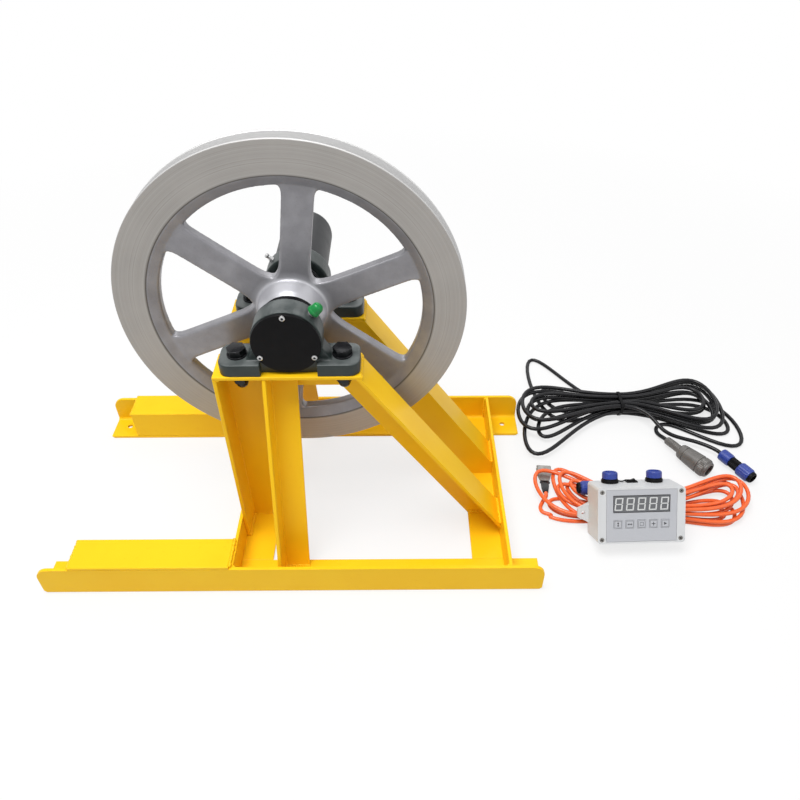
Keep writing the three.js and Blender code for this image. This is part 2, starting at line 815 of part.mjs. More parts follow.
function encoderBody() {
  const end = rearBlockY + headWidth * half + encoderCoverLength - encoderCoverWall;
  const start = end - encoderLength;
  const bore = encoderShaftRadius + raceGap;
  return turned([
    [bore, start], [encoderRadius, start], [encoderRadius, end], [0, end],
    [0, start + encoderBoreDepth], [bore, start + encoderBoreDepth], [bore, start],
  ], ringFacets);
}

function addFixedRound(machine) {
  const group = new THREE.Group();
  group.position.set(axisX, 0, axisZ);
  addMesh(group, "front_end_cover", endCover(), blackPlastic);
  addMesh(group, "encoder_cover", encoderCover(), greenIron);
  addMesh(group, "encoder_body", encoderBody(), blackPlastic);
  machine.add(group);
}

// Control box pieces: x to the right, y to the back with 0 at the rear face, z up from its lower edge
const boxFront = -boxDepth;
const lidBack = -boxDepth + lidDepth;
const boxHalf = boxWidth * half;
const cavityHalf = boxHalf - columnWidth;
const faceCentre = boxHeight * half;

function controlBoxBase() {
  const outline = roundedOutline(-boxHalf, boxHalf, 0, boxHeight, boxCorner);
  const body = prism(outline, "y", lidBack + seatGap, 0);
  const cavityTop = boxHeight - boxWall;
  const hollow = block([-cavityHalf, lidBack - overrun, boxWall], [cavityHalf, -boxWall, cavityTop]);
  const ear = (side) => {
    const root = side * (boxHalf - boxWall);
    const tip = side * (boxHalf + earReach);
    const baseHalf = earBaseHeight * half;
    const tipHalf = earTipHeight * half;
    return prism(
      [[root, earCentre - baseHalf], [side * boxHalf, earCentre - baseHalf], [tip, earCentre - tipHalf],
        [tip, earCentre + tipHalf], [side * boxHalf, earCentre + baseHalf], [root, earCentre + baseHalf]],
      "y", -earThickness, 0,
    );
  };
  const earHole = (side) => rod(earHoleRadius, -earThickness - overrun, overrun)
    .translate(side * (boxHalf + earHoleReach), 0, earCentre);
  const socketHole = (x) => aimed(
    rod(socketNeckRadius + seatGap, boxHeight - boxWall - overrun, boxHeight + overrun), upward,
    vector([x, -socketInset, 0]),
  );
  const switchHalf = [switchBodyLength * half + seatGap, switchBodyWidth * half + seatGap];
  const switchHole = block(
    [switchOffset - switchHalf[0], -socketInset - switchHalf[1], boxHeight - boxWall - overrun],
    [switchOffset + switchHalf[0], -socketInset + switchHalf[1], boxHeight + overrun],
  );
  return cut(
    joined(body, ear(-1), ear(1)),
    hollow, earHole(-1), earHole(1),
    socketHole(socketOffsets.left), socketHole(socketOffsets.right), switchHole,
  );
}

// Places of the keys and of the display on the face, as x and z of their centres
const displayCentre = boxHeight - displayTop - displayHeight * half;
const keyPlaces = Array.from({ length: keyCount }, (_, i) => (i - (keyCount - 1) * half) * keyPitch);
const keyRow = boxHeight - keyRowDown;

function faceOpenings(front, back) {
  const window = [displayWidth * half + seatGap, displayHeight * half + seatGap];
  const openings = [block(
    [-window[0], front - overrun, displayCentre - window[1]],
    [window[0], back + overrun, displayCentre + window[1]],
  )];
  const keyHalf = keySize * half + seatGap;
  for (const x of keyPlaces) {
    openings.push(block(
      [x - keyHalf, front - overrun, keyRow - keyHalf],
      [x + keyHalf, back + overrun, keyRow + keyHalf],
    ));
  }
  return openings;
}

function controlBoxLid() {
  const outline = roundedOutline(-boxHalf, boxHalf, 0, boxHeight, boxCorner);
  const body = prism(outline, "y", boxFront, lidBack);
  const inside = boxFront + boxWall;
  const hollow = block([-cavityHalf, inside, boxWall], [cavityHalf, lidBack + overrun, boxHeight - boxWall]);
  const recessHalf = [overlayWidth * half + seatGap, overlayHeight * half + seatGap];
  const recess = block(
    [-recessHalf[0], boxFront - overrun, faceCentre - recessHalf[1]],
    [recessHalf[0], boxFront + recessDepth, faceCentre + recessHalf[1]],
  );
  const corners = [[-1, -1], [1, -1], [-1, 1], [1, 1]];
  const screwHole = ([sx, sz]) => rod(lidScrewRadius, boxFront - overrun, boxFront + lidScrewDepth)
    .translate(sx * (boxHalf - lidScrewInset), 0, faceCentre + sz * (faceCentre - lidScrewInset));
  const post = ([sx, sz]) => rod(postRadius, inside - overrun, boxFront + boardSetback - seatGap)
    .translate(sx * (boardWidth * half - postInset), 0, faceCentre + sz * (boardHeight * half - postInset));
  const screwHoles = corners.map(screwHole);
  const posts = corners.map(post);
  const shell = cut(body, hollow, recess, ...screwHoles);
  return cut(joined(shell, ...posts), ...faceOpenings(boxFront, inside));
}

function keypadOverlay() {
  const [x, z] = [overlayWidth * half, overlayHeight * half];
  const front = boxFront - overlayProud;
  const back = front + overlayThickness;
  const sheet = block([-x, front, faceCentre - z], [x, back, faceCentre + z]);
  return cut(sheet, ...faceOpenings(front, back));
}

function displayModule() {
  const [x, z] = [displayWidth * half, displayHeight * half];
  return block(
    [-x, boxFront + displaySink, displayCentre - z],
    [x, boxFront + boardSetback - seatGap, displayCentre + z],
  );
}

// Key: a square pad over a stem that ends one travel and a little above the board
function keyButton(x) {
  const pad = keySize * half;
  const padBack = boxFront - keyProud + keyPad;
  const stemEnd = boxFront + boardSetback - keyTravel - seatGap;
  const cap = block([x - pad, boxFront - keyProud, keyRow - pad], [x + pad, padBack, keyRow + pad]);
  return joined(cap, rod(keyStemRadius, padBack - overrun, stemEnd).translate(x, 0, keyRow));
}

function circuitBoard() {
  const front = boxFront + boardSetback;
  const [x, z] = [boardWidth * half, boardHeight * half];
  return block([-x, front, faceCentre - z], [x, front + boardThickness, faceCentre + z]);
}

// Panel socket: flange over the top wall, neck through it and up into the cap
function panelSocket() {
  const seat = boxHeight + seatGap;
  const flange = seat + socketFlange;
  return turned([
    [0, boxHeight - socketDrop], [socketNeckRadius, boxHeight - socketDrop], [socketNeckRadius, seat],
    [socketFlangeRadius, seat], [socketFlangeRadius, flange], [socketNeckRadius, flange],
    [socketNeckRadius, boxHeight + socketRise], [0, boxHeight + socketRise],
  ], roundFacets * half);
}

function socketCap() {
  const start = boxHeight + socketFlange + 2 * seatGap;
  const end = start + socketCapHeight;
  const inner = socketNeckRadius + seatGap;
  const hollow = boxHeight + socketRise + seatGap;
  return turned([
    [inner, start], [socketCapRadius, start], [socketCapRadius, end - overlayThickness],
    [socketCapRadius - overlayThickness, end], [0, end], [0, hollow], [inner, hollow], [inner, start],
  ], roundFacets * half);
}

const rockerPivot = [switchOffset, -socketInset, boxHeight];

function switchBody() {
  const seat = boxHeight + seatGap;
  const [x, y] = [switchLength * half, switchWidth * half];
  const [bx, by] = [switchBodyLength * half, switchBodyWidth * half];
  const bezel = block(
    [switchOffset - x, -socketInset - y, seat],
    [switchOffset + x, -socketInset + y, seat + switchBezel],
  );
  const body = block(
    [switchOffset - bx, -socketInset - by, boxHeight - switchDrop],
    [switchOffset + bx, -socketInset + by, seat + overrun * half],
  );
  const [px, py] = [rockerPocketLength * half, rockerWidth * half + seatGap];
  const pocket = block(
    [switchOffset - px, -socketInset - py, boxHeight - rockerPocketDepth],
    [switchOffset + px, -socketInset + py, seat + switchBezel + overrun],
  );
  return cut(joined(bezel, body), pocket);
}

// Rocker with two horns and a dip, made about its pivot and set down on its left side
function switchRocker() {
  const reach = rockerLength * half;
  const outline = [
    [-reach, rockerHorn], [-reach * rockerRootShare, -rockerRoot], [0, -rockerRoot - rockerKeel],
    [reach * rockerRootShare, -rockerRoot], [reach, rockerHorn], [0, rockerDip],
  ];
  const body = prism(outline, "y", -rockerWidth * half, rockerWidth * half);
  return body.rotateY(-rockerTiltDegrees * radians).translate(...rockerPivot);
}

function addControlBox(machine) {
  const group = new THREE.Group();
  group.position.set(boxX, boxY, 0);
  group.rotation.order = "ZYX";
  group.rotation.set(-boxLeanDegrees * radians, 0, boxYawDegrees * radians);
  addMesh(group, "control_box_base", controlBoxBase(), whitePlastic);
  addMesh(group, "control_box_lid", controlBoxLid(), whitePlastic);
  addMesh(group, "keypad_overlay", keypadOverlay(), greyOverlay);
  addMesh(group, "display_module", displayModule(), smokedWindow);
  addMesh(group, "circuit_board", circuitBoard(), boardGreen);
  keyPlaces.forEach((x, i) => addMesh(group, `key_${i + 1}`, keyButton(x), greyOverlay));
  for (const [side, x] of Object.entries(socketOffsets)) {
    const place = vector([x, -socketInset, 0]);
    addMesh(group, `${side}_socket`, aimed(panelSocket(), upward, place), blackPlastic);
    addMesh(group, `${side}_socket_cap`, aimed(socketCap(), upward, place), bluePlastic);
  }
  addMesh(group, "rocker_switch_body", switchBody(), blackPlastic);
  addMesh(group, "rocker_switch", switchRocker(), blackPlastic);
  machine.add(group);
}

// A hank's path. It is a row of half turns: even ones swing to one side, odd ones to the other.
// Each half turn has its reach along the hank, its aim and its fullness across it, and its layer;
// between two half turns the cable crosses the waist at a place given in steps from the middle.
function hankPath(hank) {
  const points = [];
  const { lobes, crossings, centre, step, layer, lift, diameter } = hank;
  lobes.forEach((lobe, i) => {
    const [reach, aim, full, level] = lobe;
    const right = (i + hank.firstSide) % 2 === 0;
    const start = right ? -Math.PI * half : Math.PI * half;
    const before = i ? lobes[i - 1][3] : level;
    const after = i < lobes.length - 1 ? lobes[i + 1][3] : level;
    const first = i ? 1 : Math.round(hank.startShare * hankStep);
    for (let k = first; k <= hankStep; k += 1) {
      const t = k / hankStep;
      const turn = start + Math.PI * t;
      const along = Math.cos(turn);
      const mix = t * t * (3 - 2 * t);
      const waist = step * (crossings[i] * (1 - mix) + crossings[i + 1] * mix);
      const bow = along * along;
      const across = Math.sin(turn) * (waist + (full - waist) * bow) + aim * bow;
      const rise = climb(t, before, level, after);
      const z = cordRest + diameter * half + lift * (1 - bow) ** liftFade + layer * rise;
      points.push(vector([centre[0] + reach * along, centre[1] + across, z]));
    }
  });
  return points;
}

// Layer of a half turn at its share t: it climbs to or from its neighbours near the waist
function climb(t, before, level, after) {
  const ease = (s) => s * s * (3 - 2 * s);
  if (t < climbShare) {
    const s = half + t / climbShare * half;
    return before + (level - before) * ease(s);
  }
  if (t > 1 - climbShare) {
    const s = (t - 1 + climbShare) / climbShare * half;
    return level + (after - level) * ease(s);
  }
  return level;
}

// A tube of few sides along points, with flat ends, carrying its section without twist
function cordTube(points, diameter) {
  const radius = diameter * half;
  const tangents = points.map((p, i) => {
    const back = points[Math.max(i - 1, 0)];
    const on = points[Math.min(i + 1, points.length - 1)];
    return on.clone().sub(back).normalize();
  });
  let side = new THREE.Vector3().crossVectors(tangents[0], upward).normalize();
  const positions = [];
  points.forEach((p, i) => {
    side = side.clone().addScaledVector(tangents[i], -side.dot(tangents[i])).normalize();
    const top = new THREE.Vector3().crossVectors(side, tangents[i]);
    for (let k = 0; k < cordSides; k += 1) {
      const turn = k / cordSides * Math.PI * 2;
      const [along, up] = [radius * Math.cos(turn), radius * Math.sin(turn)];
      positions.push(...p.clone().addScaledVector(side, along).addScaledVector(top, up).toArray());
    }
  });
  const index = [];
  const last = (points.length - 1) * cordSides;
  for (let i = 0; i < last; i += cordSides) {
    for (let k = 0; k < cordSides; k += 1) {
      const next = (k + 1) % cordSides;
      const [a, b, c, d] = [i + k, i + next, i + cordSides + k, i + cordSides + next];
      index.push(a, b, d, a, d, c);
    }
  }
  for (let k = 1; k < cordSides - 1; k += 1) {
    index.push(0, k + 1, k);
    index.push(last, last + k, last + k + 1);
  }
  const geometry = new THREE.BufferGeometry();
  geometry.setAttribute("position", new THREE.Float32BufferAttribute(positions, 3));
  geometry.setIndex(index);
  return closed(geometry);
}

// Length of a path and its least gap to itself, measured on points a few millimetres apart
function measureCord(name, points, diameter) {
  const near = diameter * half;
  const dense = [];
  let length = 0;
  for (let i = 1; i < points.length; i += 1) {
    const span = points[i].distanceTo(points[i - 1]);
    const cuts = Math.ceil(span / near);
    for (let k = 0; k < cuts; k += 1) {
      dense.push({ at: length + span * k / cuts, p: points[i - 1].clone().lerp(points[i], k / cuts) });
    }
    length += span;
  }
  let least = Infinity;
  let where = null;
  for (let i = 0; i < dense.length; i += 1) {
    for (let j = i + 1; j < dense.length; j += 1) {
      if (dense[j].at - dense[i].at < diameter * 6) continue;
      const gap = dense[i].p.distanceTo(dense[j].p) - diameter;
      if (gap < least) {
        least = gap;
        where = dense[i].p;
      }
    }
  }
  const spot = where.toArray().map((value) => value.toFixed(0)).join(" ");
  const found = `least gap to itself ${least.toFixed(2)} mm near ${spot}`;
  console.log(`${name}: length ${length.toFixed(0)} mm, ${found}`);
}

// Black sensor cable: reach, aim, fullness and layer of each half turn, the first to the right
const blackHank = {
  centre: blackCentre, step: blackStep, layer: blackLayer, lift: blackWaistLift, diameter: blackDiameter,
  firstSide: 0, startShare: blackStartShare,
  lobes: [
    [161, -45, 112, 0], [118, 75, 160, 0], [148, -34, 70, 0], [103, 34, 58, 0],
    [126, 8, 56, 1], [122, -50, 60, 1], [139, 6, 100, 1], [143, -68, 112, 1],
    [143, -6, 122, 2], [147, -22, 96, 2], [129, -14, 80, 2], [133, -18, 58, 2],
    [120, 2, 62, 3], [127, -8, 46, 3], [136, 0, 106, 3], [140, -10, 84, 3],
  ],
  crossings: [1.5, 1.5, 1.5, 0.5, 0.5, 0.5, 1.5, 1.5, 2.5, 1.5, 1.5, 0.5, 0.5, 0.5, 1.5, 1.5, 2.5],
};
const blackHead = [
  [776.29, 231.48, 8.74], [773.6, 238, 7.2], [770.8, 246, 4.6], [769.4, 254.5, 3.2],
  [772, 263, 3], [779.6, 268.6, 3], [789.6, 268.8, 3], [798.6, 264.8, 3],
];
const blackTail = [
  [742, 282.3, 23.4], [754, 274.4, 22.6], [763, 263.6, 19.8], [769.5, 253, 16.4],
  [776.6, 244.6, 13.2], [787, 238, 10.9], [800, 232.4, 10.2], [814, 226.5, 10.2],
  [828, 217.5, 10.4], [836.4, 209.6, 10.6], [840.25, 203.87, 10.6],
];

// Orange supply lead: the first half turn, cut short, is to the left
const orangeHank = {
  centre: orangeCentre, step: orangeStep, layer: orangeLayer, lift: orangeWaistLift, diameter: orangeDiameter,
  firstSide: 1, startShare: orangeStartShare,
  lobes: [
    [136, 22, 54, 0], [112, 1, 46, 0], [116, 16, 32, 0], [100, 1, 29, 0],
    [90, 38, 36, 1], [114, 20, 42, 1], [106, 48, 88, 1], [127, 22, 76, 1],
    [131, 43, 78, 2], [135, 29, 64, 2], [104, 30, 40, 2], [123, 28, 38, 2],
    [88, 34, 32, 3], [113, 25, 33, 3], [101, 38, 66, 3], [126, 33, 52, 3],
  ],
  crossings: [1.5, 1.5, 1.5, 0.5, 0.5, 0.5, 1.5, 1.5, 2.5, 1.5, 1.5, 0.5, 0.5, 0.5, 1.5, 1.5, 2.5],
};
const orangeHead = [
  [595.97, 140.7, 5.2], [595.43, 134.73, 5.2], [590, 126.5, 4],
  [586, 118, 2.8], [588, 110.5, 2.7], [597, 106, 2.7],
];
const orangeTail = [
  [707, 123.6, 21.8], [701, 124.4, 26], [694.3, 124, 31.4], [688.3, 124, 32.2], [682.3, 124, 32.2],
];

// Tie: a closed band round the waist of the black hank
function cableTie() {
  const [low, high] = tieLow;
  const gap = tieGap;
  const [y0, y1] = [blackCentre[1] + low, blackCentre[1] + high];
  const inner = roundedOutline(y0, y1, tieThickness + cordRest, tieThickness + tieHigh + gap, tieCorner);
  const outer = roundedOutline(
    y0 - tieThickness, y1 + tieThickness, cordRest, tieHigh + gap + 2 * tieThickness,
    tieCorner + tieThickness,
  );
  const x0 = blackCentre[0] - tieWidth * half;
  return cut(prism(outer, "x", x0, x0 + tieWidth), prism(inner, "x", x0 - overrun, x0 + tieWidth + overrun));
}

// A round plug about a line from its start to its end; its profile is radius by share of the length
function roundPlug(start, end, profile) {
  const axis = vector(end).sub(vector(start));
  const length = axis.length();
  const steps = profile.map(([radius, share]) => [radius, share * length]);
  return aimed(turned(steps, plugFacets), axis, vector(start));
}

function greyPlug() {
  const { neck, groove, grooveEnd, nose } = greyLengthShares;
  const body = roundPlug(greyBodyStart, greyBodyEnd, [
    [0, 0], [greyTailRadius, 0], [greyNeckRadius, neck], [greyBodyRadius, groove],
    [greyBodyRadius - greyGroove, groove], [greyBodyRadius - greyGroove, grooveEnd],
    [greyBodyRadius, grooveEnd], [greyBodyRadius, nose], [greyNoseRadius, 1], [0, 1],
  ]);
  const inside = vector(greyBodyStart).lerp(vector(greyBodyEnd), neck);
  const sleeve = cordTube([...greySleeve.map(vector), inside], 2 * greySleeveRadius);
  return joined(body, sleeve);
}

function bluePlug(start, end, radii) {
  const { nut, waist, ring } = bluePlugShares;
  return roundPlug(start, end, [
    [0, 0], [radii.nut, 0], [radii.nut, nut], [radii.waist, nut], [radii.waist, waist],
    [radii.ring, waist], [radii.ring, ring], [radii.tip, ring], [radii.tip, 1], [0, 1],
  ]);
}

// Battery clip lying on the floor: high at its handles, pinched at the pivot, flat at its jaws
function batteryClip() {
  const axis = vector(clipEnd).sub(vector(clipStart));
  const length = axis.length();
  const outline = [
    [0, -clipHandleHalf], [length * clipShares.pivot, -clipJawHalf], [length, -clipJawHalf],
    [length, clipJawHalf * half], [length * clipShares.jaw, clipJawHalf],
    [length * clipShares.pivot, clipJawHalf],
    [0, clipHandleHalf],
  ];
  const body = prism(outline, "y", -clipHalfWidth, clipHalfWidth);
  return body.rotateZ(Math.atan2(axis.y, axis.x)).translate(...clipStart);
}

function addCords(machine) {
  const black = [...blackHead.map(vector), ...hankPath(blackHank), ...blackTail.map(vector)];
  const orange = [...orangeHead.map(vector), ...hankPath(orangeHank), ...orangeTail.map(vector)];
  measureCord("black cable", black, blackDiameter);
  measureCord("orange lead", orange, orangeDiameter);
  addMesh(machine, "black_cable_hank", cordTube(black, blackDiameter), blackRubber);
  addMesh(machine, "black_cable_tie", cableTie(), blackPlastic);
  addMesh(machine, "grey_plug", greyPlug(), greyPlastic);
  addMesh(machine, "blue_plug", bluePlug(blueStart, blueEnd, blueRadii), bluePlastic);
  addMesh(machine, "orange_lead_hank", cordTube(orange, orangeDiameter), orangeRubber);
  addMesh(machine, "orange_lead_plug", bluePlug(orangePlugStart, orangePlugEnd, leadPlugRadii), bluePlastic);
  addMesh(machine, "battery_clip", batteryClip(), clipSteel);
}

// The recorder, with its origin under the middle of the stand and the control box together
const machine = new THREE.Group();
addStand(machine);
addBlock(machine, "front", frontBlockY, 1);
addBlock(machine, "rear", rearBlockY, -1);
addRotor(machine);
addFixedRound(machine);
addControlBox(machine);
machine.updateMatrixWorld(true);
const reach = new THREE.Box3().setFromObject(machine, true).getCenter(new THREE.Vector3());
addCords(machine);
machine.position.set(-reach.x, -reach.y, 0);

const recorder = new THREE.Group();
recorder.add(machine);

export default recorder;
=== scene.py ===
import json
import math

import bmesh
import bpy
from mathutils import Matrix, Vector


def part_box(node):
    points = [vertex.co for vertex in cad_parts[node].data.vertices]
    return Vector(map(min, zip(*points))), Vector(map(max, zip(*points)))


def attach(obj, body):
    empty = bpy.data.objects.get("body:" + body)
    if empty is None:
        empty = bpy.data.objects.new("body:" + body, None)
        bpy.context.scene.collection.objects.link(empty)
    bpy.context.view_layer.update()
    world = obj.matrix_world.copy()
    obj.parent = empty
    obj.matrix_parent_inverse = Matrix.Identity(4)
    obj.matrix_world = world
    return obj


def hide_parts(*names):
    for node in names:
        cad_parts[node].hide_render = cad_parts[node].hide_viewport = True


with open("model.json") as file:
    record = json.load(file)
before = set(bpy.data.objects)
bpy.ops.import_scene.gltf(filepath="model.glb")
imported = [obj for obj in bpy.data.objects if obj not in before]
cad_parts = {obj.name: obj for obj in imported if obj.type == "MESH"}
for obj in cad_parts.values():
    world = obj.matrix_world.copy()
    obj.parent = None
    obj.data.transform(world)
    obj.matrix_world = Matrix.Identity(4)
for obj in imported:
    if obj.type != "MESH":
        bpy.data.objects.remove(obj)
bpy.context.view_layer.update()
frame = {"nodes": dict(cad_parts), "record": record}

# Driving sizes of the real recorder, in millimetres, from the stand's own corner
MM = 0.001
STAND_LEFT = 5
STAND_DEPTH = 292
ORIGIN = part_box("front_base_angle")[0] - Vector((STAND_LEFT * MM, 0, 0))
TOP_LEVEL = 251
AXIS_X = 301
AXIS_Z = 287.5
FRONT_BLOCK_Y = 95
REAR_BLOCK_Y = 197
BOLT_REACH = 52.5

# The wheel: its rim's outer radius and half width, its groove, and its turn and cast spokes
RIM_RADIUS = 177.7
RIM_HALF = 11.5
GROOVE_HALF = 8.6
GROOVE_RADIUS = 159.15
SPOKE_TURN = 7.9
SPOKE_COUNT = 6
SPOKE_HALF = 5.7
SPOKE_START = 20
SPOKE_END = 137
SPOKE_STEPS = 52

# The control box stands on its lower rear edge and leans back on the orange lead
BOX_FOOT = (688.6, 79.1, 0)
BOX_YAW = 1.6
BOX_LEAN = 35.1
BOX_WIDTH = 102
BOX_HEIGHT = 66
BOX_DEPTH = 42
LID_SCREW_INSET = 5
DISPLAY_Z = BOX_HEIGHT - 19.2
DIGIT_PITCH = 13.3
KEY_Z = BOX_HEIGHT - 42.9
KEY_PITCH = 13.8
MARK_THICKNESS = 0.05
DIGIT_THICKNESS = 0.06

# The photograph's camera, found from the wheel, the bearings and the stand
CAMERA_PLACE = (410.2, -471.91, 695.54)
CAMERA_DOWN = 40.96
CAMERA_ROLL = -0.38
CAMERA_LENS = 32.158
SENSOR_WIDTH = 36
CAMERA_REACH = 50

# Studio, in metres and watts: each lamp's place, size and power
LAMPS = {
    "key": ((-0.5, -0.35, 2.4), 1.5, 59),
    "fill": ((1.8, -0.7, 1.6), 1.4, 7),
    "rear": ((0.2, 1.9, 1.8), 1.4, 9),
}
LAMP_TARGET = (-0.05, 0, 0.1)
SKY_LEVEL = 0.35
WHITE = (1, 1, 1)
FLOOR_TONE = (0.78, 0.78, 0.78)
FLOOR_WHITE = 0.74
FLOOR_FADE = (0.5, 1.3)
FLOOR_HALF = 6
FLOOR_DROP = 0.0006


def at(x, y, z):
    """A place of the stand, given in millimetres from its corner, in the frame's metres."""
    return ORIGIN + Vector((x, y, z)) * MM


def shift(x, y, z):
    return Matrix.Translation((x, y, z))


def stand_place(x, y, z):
    return Matrix.Translation(at(x, y, z))


def turn(degrees, axis):
    return Matrix.Rotation(math.radians(degrees), 4, axis)


BOX_PLACE = stand_place(*BOX_FOOT) @ turn(BOX_YAW, "Z") @ turn(-BOX_LEAN, "X")
SHAFT_PLACE = stand_place(AXIS_X, 0, AXIS_Z) @ turn(-90, "X")
WHEEL_PLACE = stand_place(AXIS_X, STAND_DEPTH / 2, AXIS_Z)


# Materials

def feed(tree, sockets, values):
    """Gives sockets a value or another node's output each; a colour is red, green and blue."""
    for name, value in values.items():
        if isinstance(value, bpy.types.NodeSocket):
            tree.links.new(value, sockets[name])
        elif sockets[name].type == "RGBA":
            sockets[name].default_value = (*value, 1.0)
        else:
            sockets[name].default_value = value


def node(tree, kind, inputs=None, **settings):
    made = tree.nodes.new(kind)
    for name, value in settings.items():
        setattr(made, name, value)
    feed(tree, made.inputs, inputs or {})
    return made


def arithmetic(tree, operation, first, second=0.0):
    return node(tree, "ShaderNodeMath", {0: first, 1: second}, operation=operation).outputs["Value"]


def times(tree, first, second):
    return arithmetic(tree, "MULTIPLY", first, second)


def ramped(tree, value, low, high, first=0.0, last=1.0):
    """Stretches the part of a value between low and high to the range from first to last."""
    inputs = {"Value": value, "From Min": low, "From Max": high, "To Min": first, "To Max": last}
    return node(tree, "ShaderNodeMapRange", inputs).outputs["Result"]


def object_place(tree):
    return node(tree, "ShaderNodeTexCoord").outputs["Object"]


def noise(tree, scale, detail):
    inputs = {"Vector": object_place(tree), "Scale": scale, "Detail": detail, "Roughness": 0.55}
    return node(tree, "ShaderNodeTexNoise", inputs).outputs["Fac"]


def mixed(tree, amount, low, high):
    """A colour between two others, by an amount."""
    made = node(tree, "ShaderNodeMix", {"Factor": amount}, data_type="RGBA")
    feed(tree, [s for s in made.inputs if s.type == "RGBA"], {0: low, 1: high})
    return next(s for s in made.outputs if s.type == "RGBA")


def new_group(name, inputs, outputs):
    """A shader node group: returns it, what its input node gives, and what its output node takes."""
    group = bpy.data.node_groups.new(name, "ShaderNodeTree")
    for label, value in inputs.items():
        socket = group.interface.new_socket(label, in_out="INPUT", socket_type="NodeSocketFloat")
        socket.default_value = value
    for label, kind in outputs.items():
        group.interface.new_socket(label, in_out="OUTPUT", socket_type=f"NodeSocket{kind}")
    return group, group.nodes.new("NodeGroupInput").outputs, group.nodes.new("NodeGroupOutput").inputs


def make_mottle():
    """Cloudy change of a colour and of its gloss over a surface."""
    outputs = {"Cloud": "Float", "Fleck": "Float"}
    group, given, result = new_group("cloudy tone", {"Scale": 40.0, "Contrast": 0.5}, outputs)
    broad = ramped(group, noise(group, given["Scale"], 6), 0.34, 0.66)
    finer = ramped(group, noise(group, times(group, given["Scale"], 14), 3), 0.62, 0.72)
    cloud, fleck = (times(group, part, given["Contrast"]) for part in (broad, finer))
    feed(group, result, {"Cloud": cloud, "Fleck": fleck})
    return group


def make_relief():
    """Small bumps of a coat or a casting, as a normal."""
    group, given, result = new_group("fine relief", {"Scale": 900.0, "Height": 0.00005}, {"Normal": "Vector"})
    inputs = {"Height": noise(group, given["Scale"], 2), "Distance": given["Height"], "Strength": 1.0}
    feed(group, result, {"Normal": node(group, "ShaderNodeBump", inputs).outputs["Normal"]})
    return group


def make_edge_wear():
    """Where a surface turns sharply and has been rubbed, broken up by noise."""
    group, given, result = new_group("rubbed edge", {"Radius": 0.0012, "Amount": 0.5}, {"Mask": "Float"})
    rounded = node(group, "ShaderNodeBevel", {"Radius": given["Radius"]}, samples=4).outputs["Normal"]
    flat = node(group, "ShaderNodeNewGeometry").outputs["Normal"]
    alike = node(group, "ShaderNodeVectorMath", {0: rounded, 1: flat}, operation="DOT_PRODUCT")
    edge = ramped(group, arithmetic(group, "SUBTRACT", 1.0, alike.outputs["Value"]), 0.04, 0.22)
    rubbed = times(group, edge, ramped(group, noise(group, 160, 5), 0.42, 0.6))
    feed(group, result, {"Mask": times(group, rubbed, given["Amount"])})
    return group


def make_dust_and_top_light():
    """Thin dust on what faces up, which also paints light onto upward faces: lighter where a surface faces
    up.
    """
    group, given, result = new_group("settled dust", {"Amount": 0.2}, {"Mask": "Float"})
    normal = node(group, "ShaderNodeNewGeometry").outputs["Normal"]
    up = node(group, "ShaderNodeSeparateXYZ", {"Vector": normal}).outputs["Z"]
    patches = ramped(group, noise(group, 60, 5), 0.15, 0.6)
    dust_and_lit_tops = times(group, ramped(group, up, 0.6, 1.0), patches)
    feed(group, result, {"Mask": times(group, dust_and_lit_tops, given["Amount"])})
    return group


MOTTLE = make_mottle()
RELIEF = make_relief()
EDGE_WEAR = make_edge_wear()
DUST_AND_TOP_LIGHT = make_dust_and_top_light()
DUST_AND_TOP_LIGHT_TONE = (0.58, 0.6, 0.6)
DUST_ROUGHNESS = 0.9
COAT_ROUGHNESS = 0.12


def grouped(tree, group, **inputs):
    return node(tree, "ShaderNodeGroup", inputs, node_tree=group).outputs


def new_material(name):
    material = bpy.data.materials.new(name)
    material.use_nodes = True
    return material, material.node_tree, material.node_tree.nodes["Principled BSDF"].inputs


def surface(
    name, base, tone, rough, cloud, relief=None, wear=None, dust_and_top_light=0.0, metallic=0.0, coat=0.0, shine=0.5,
):
    """A finish whose colour clouds from base to tone and whose gloss varies between two values."""
    material, tree, shader = new_material(name)
    tones = grouped(tree, MOTTLE, Scale=cloud[0], Contrast=cloud[1])
    shade = mixed(tree, tones["Fleck"], mixed(tree, tones["Cloud"], base, tone), tone)
    gloss = ramped(tree, tones["Cloud"], 0, 1, *rough)
    if wear:
        worn = grouped(tree, EDGE_WEAR, Radius=wear[0], Amount=wear[1])["Mask"]
        shade = mixed(tree, worn, shade, wear[2])
    # dust on upward faces, which also stands for painted light on the tops
    if dust_and_top_light:
        dust_and_lit_tops = grouped(tree, DUST_AND_TOP_LIGHT, Amount=dust_and_top_light)["Mask"]
        shade = mixed(tree, dust_and_lit_tops, shade, DUST_AND_TOP_LIGHT_TONE)
        gloss = arithmetic(tree, "MAXIMUM", gloss, times(tree, dust_and_lit_tops, DUST_ROUGHNESS))
    feed(tree, shader, {
        "Base Color": shade, "Roughness": gloss, "Metallic": metallic, "Coat Weight": coat,
        "Coat Roughness": COAT_ROUGHNESS, "Specular IOR Level": shine,
    })
    if relief:
        feed(tree, shader, {"Normal": grouped(tree, RELIEF, Scale=relief[0], Height=relief[1])["Normal"]})
    return material


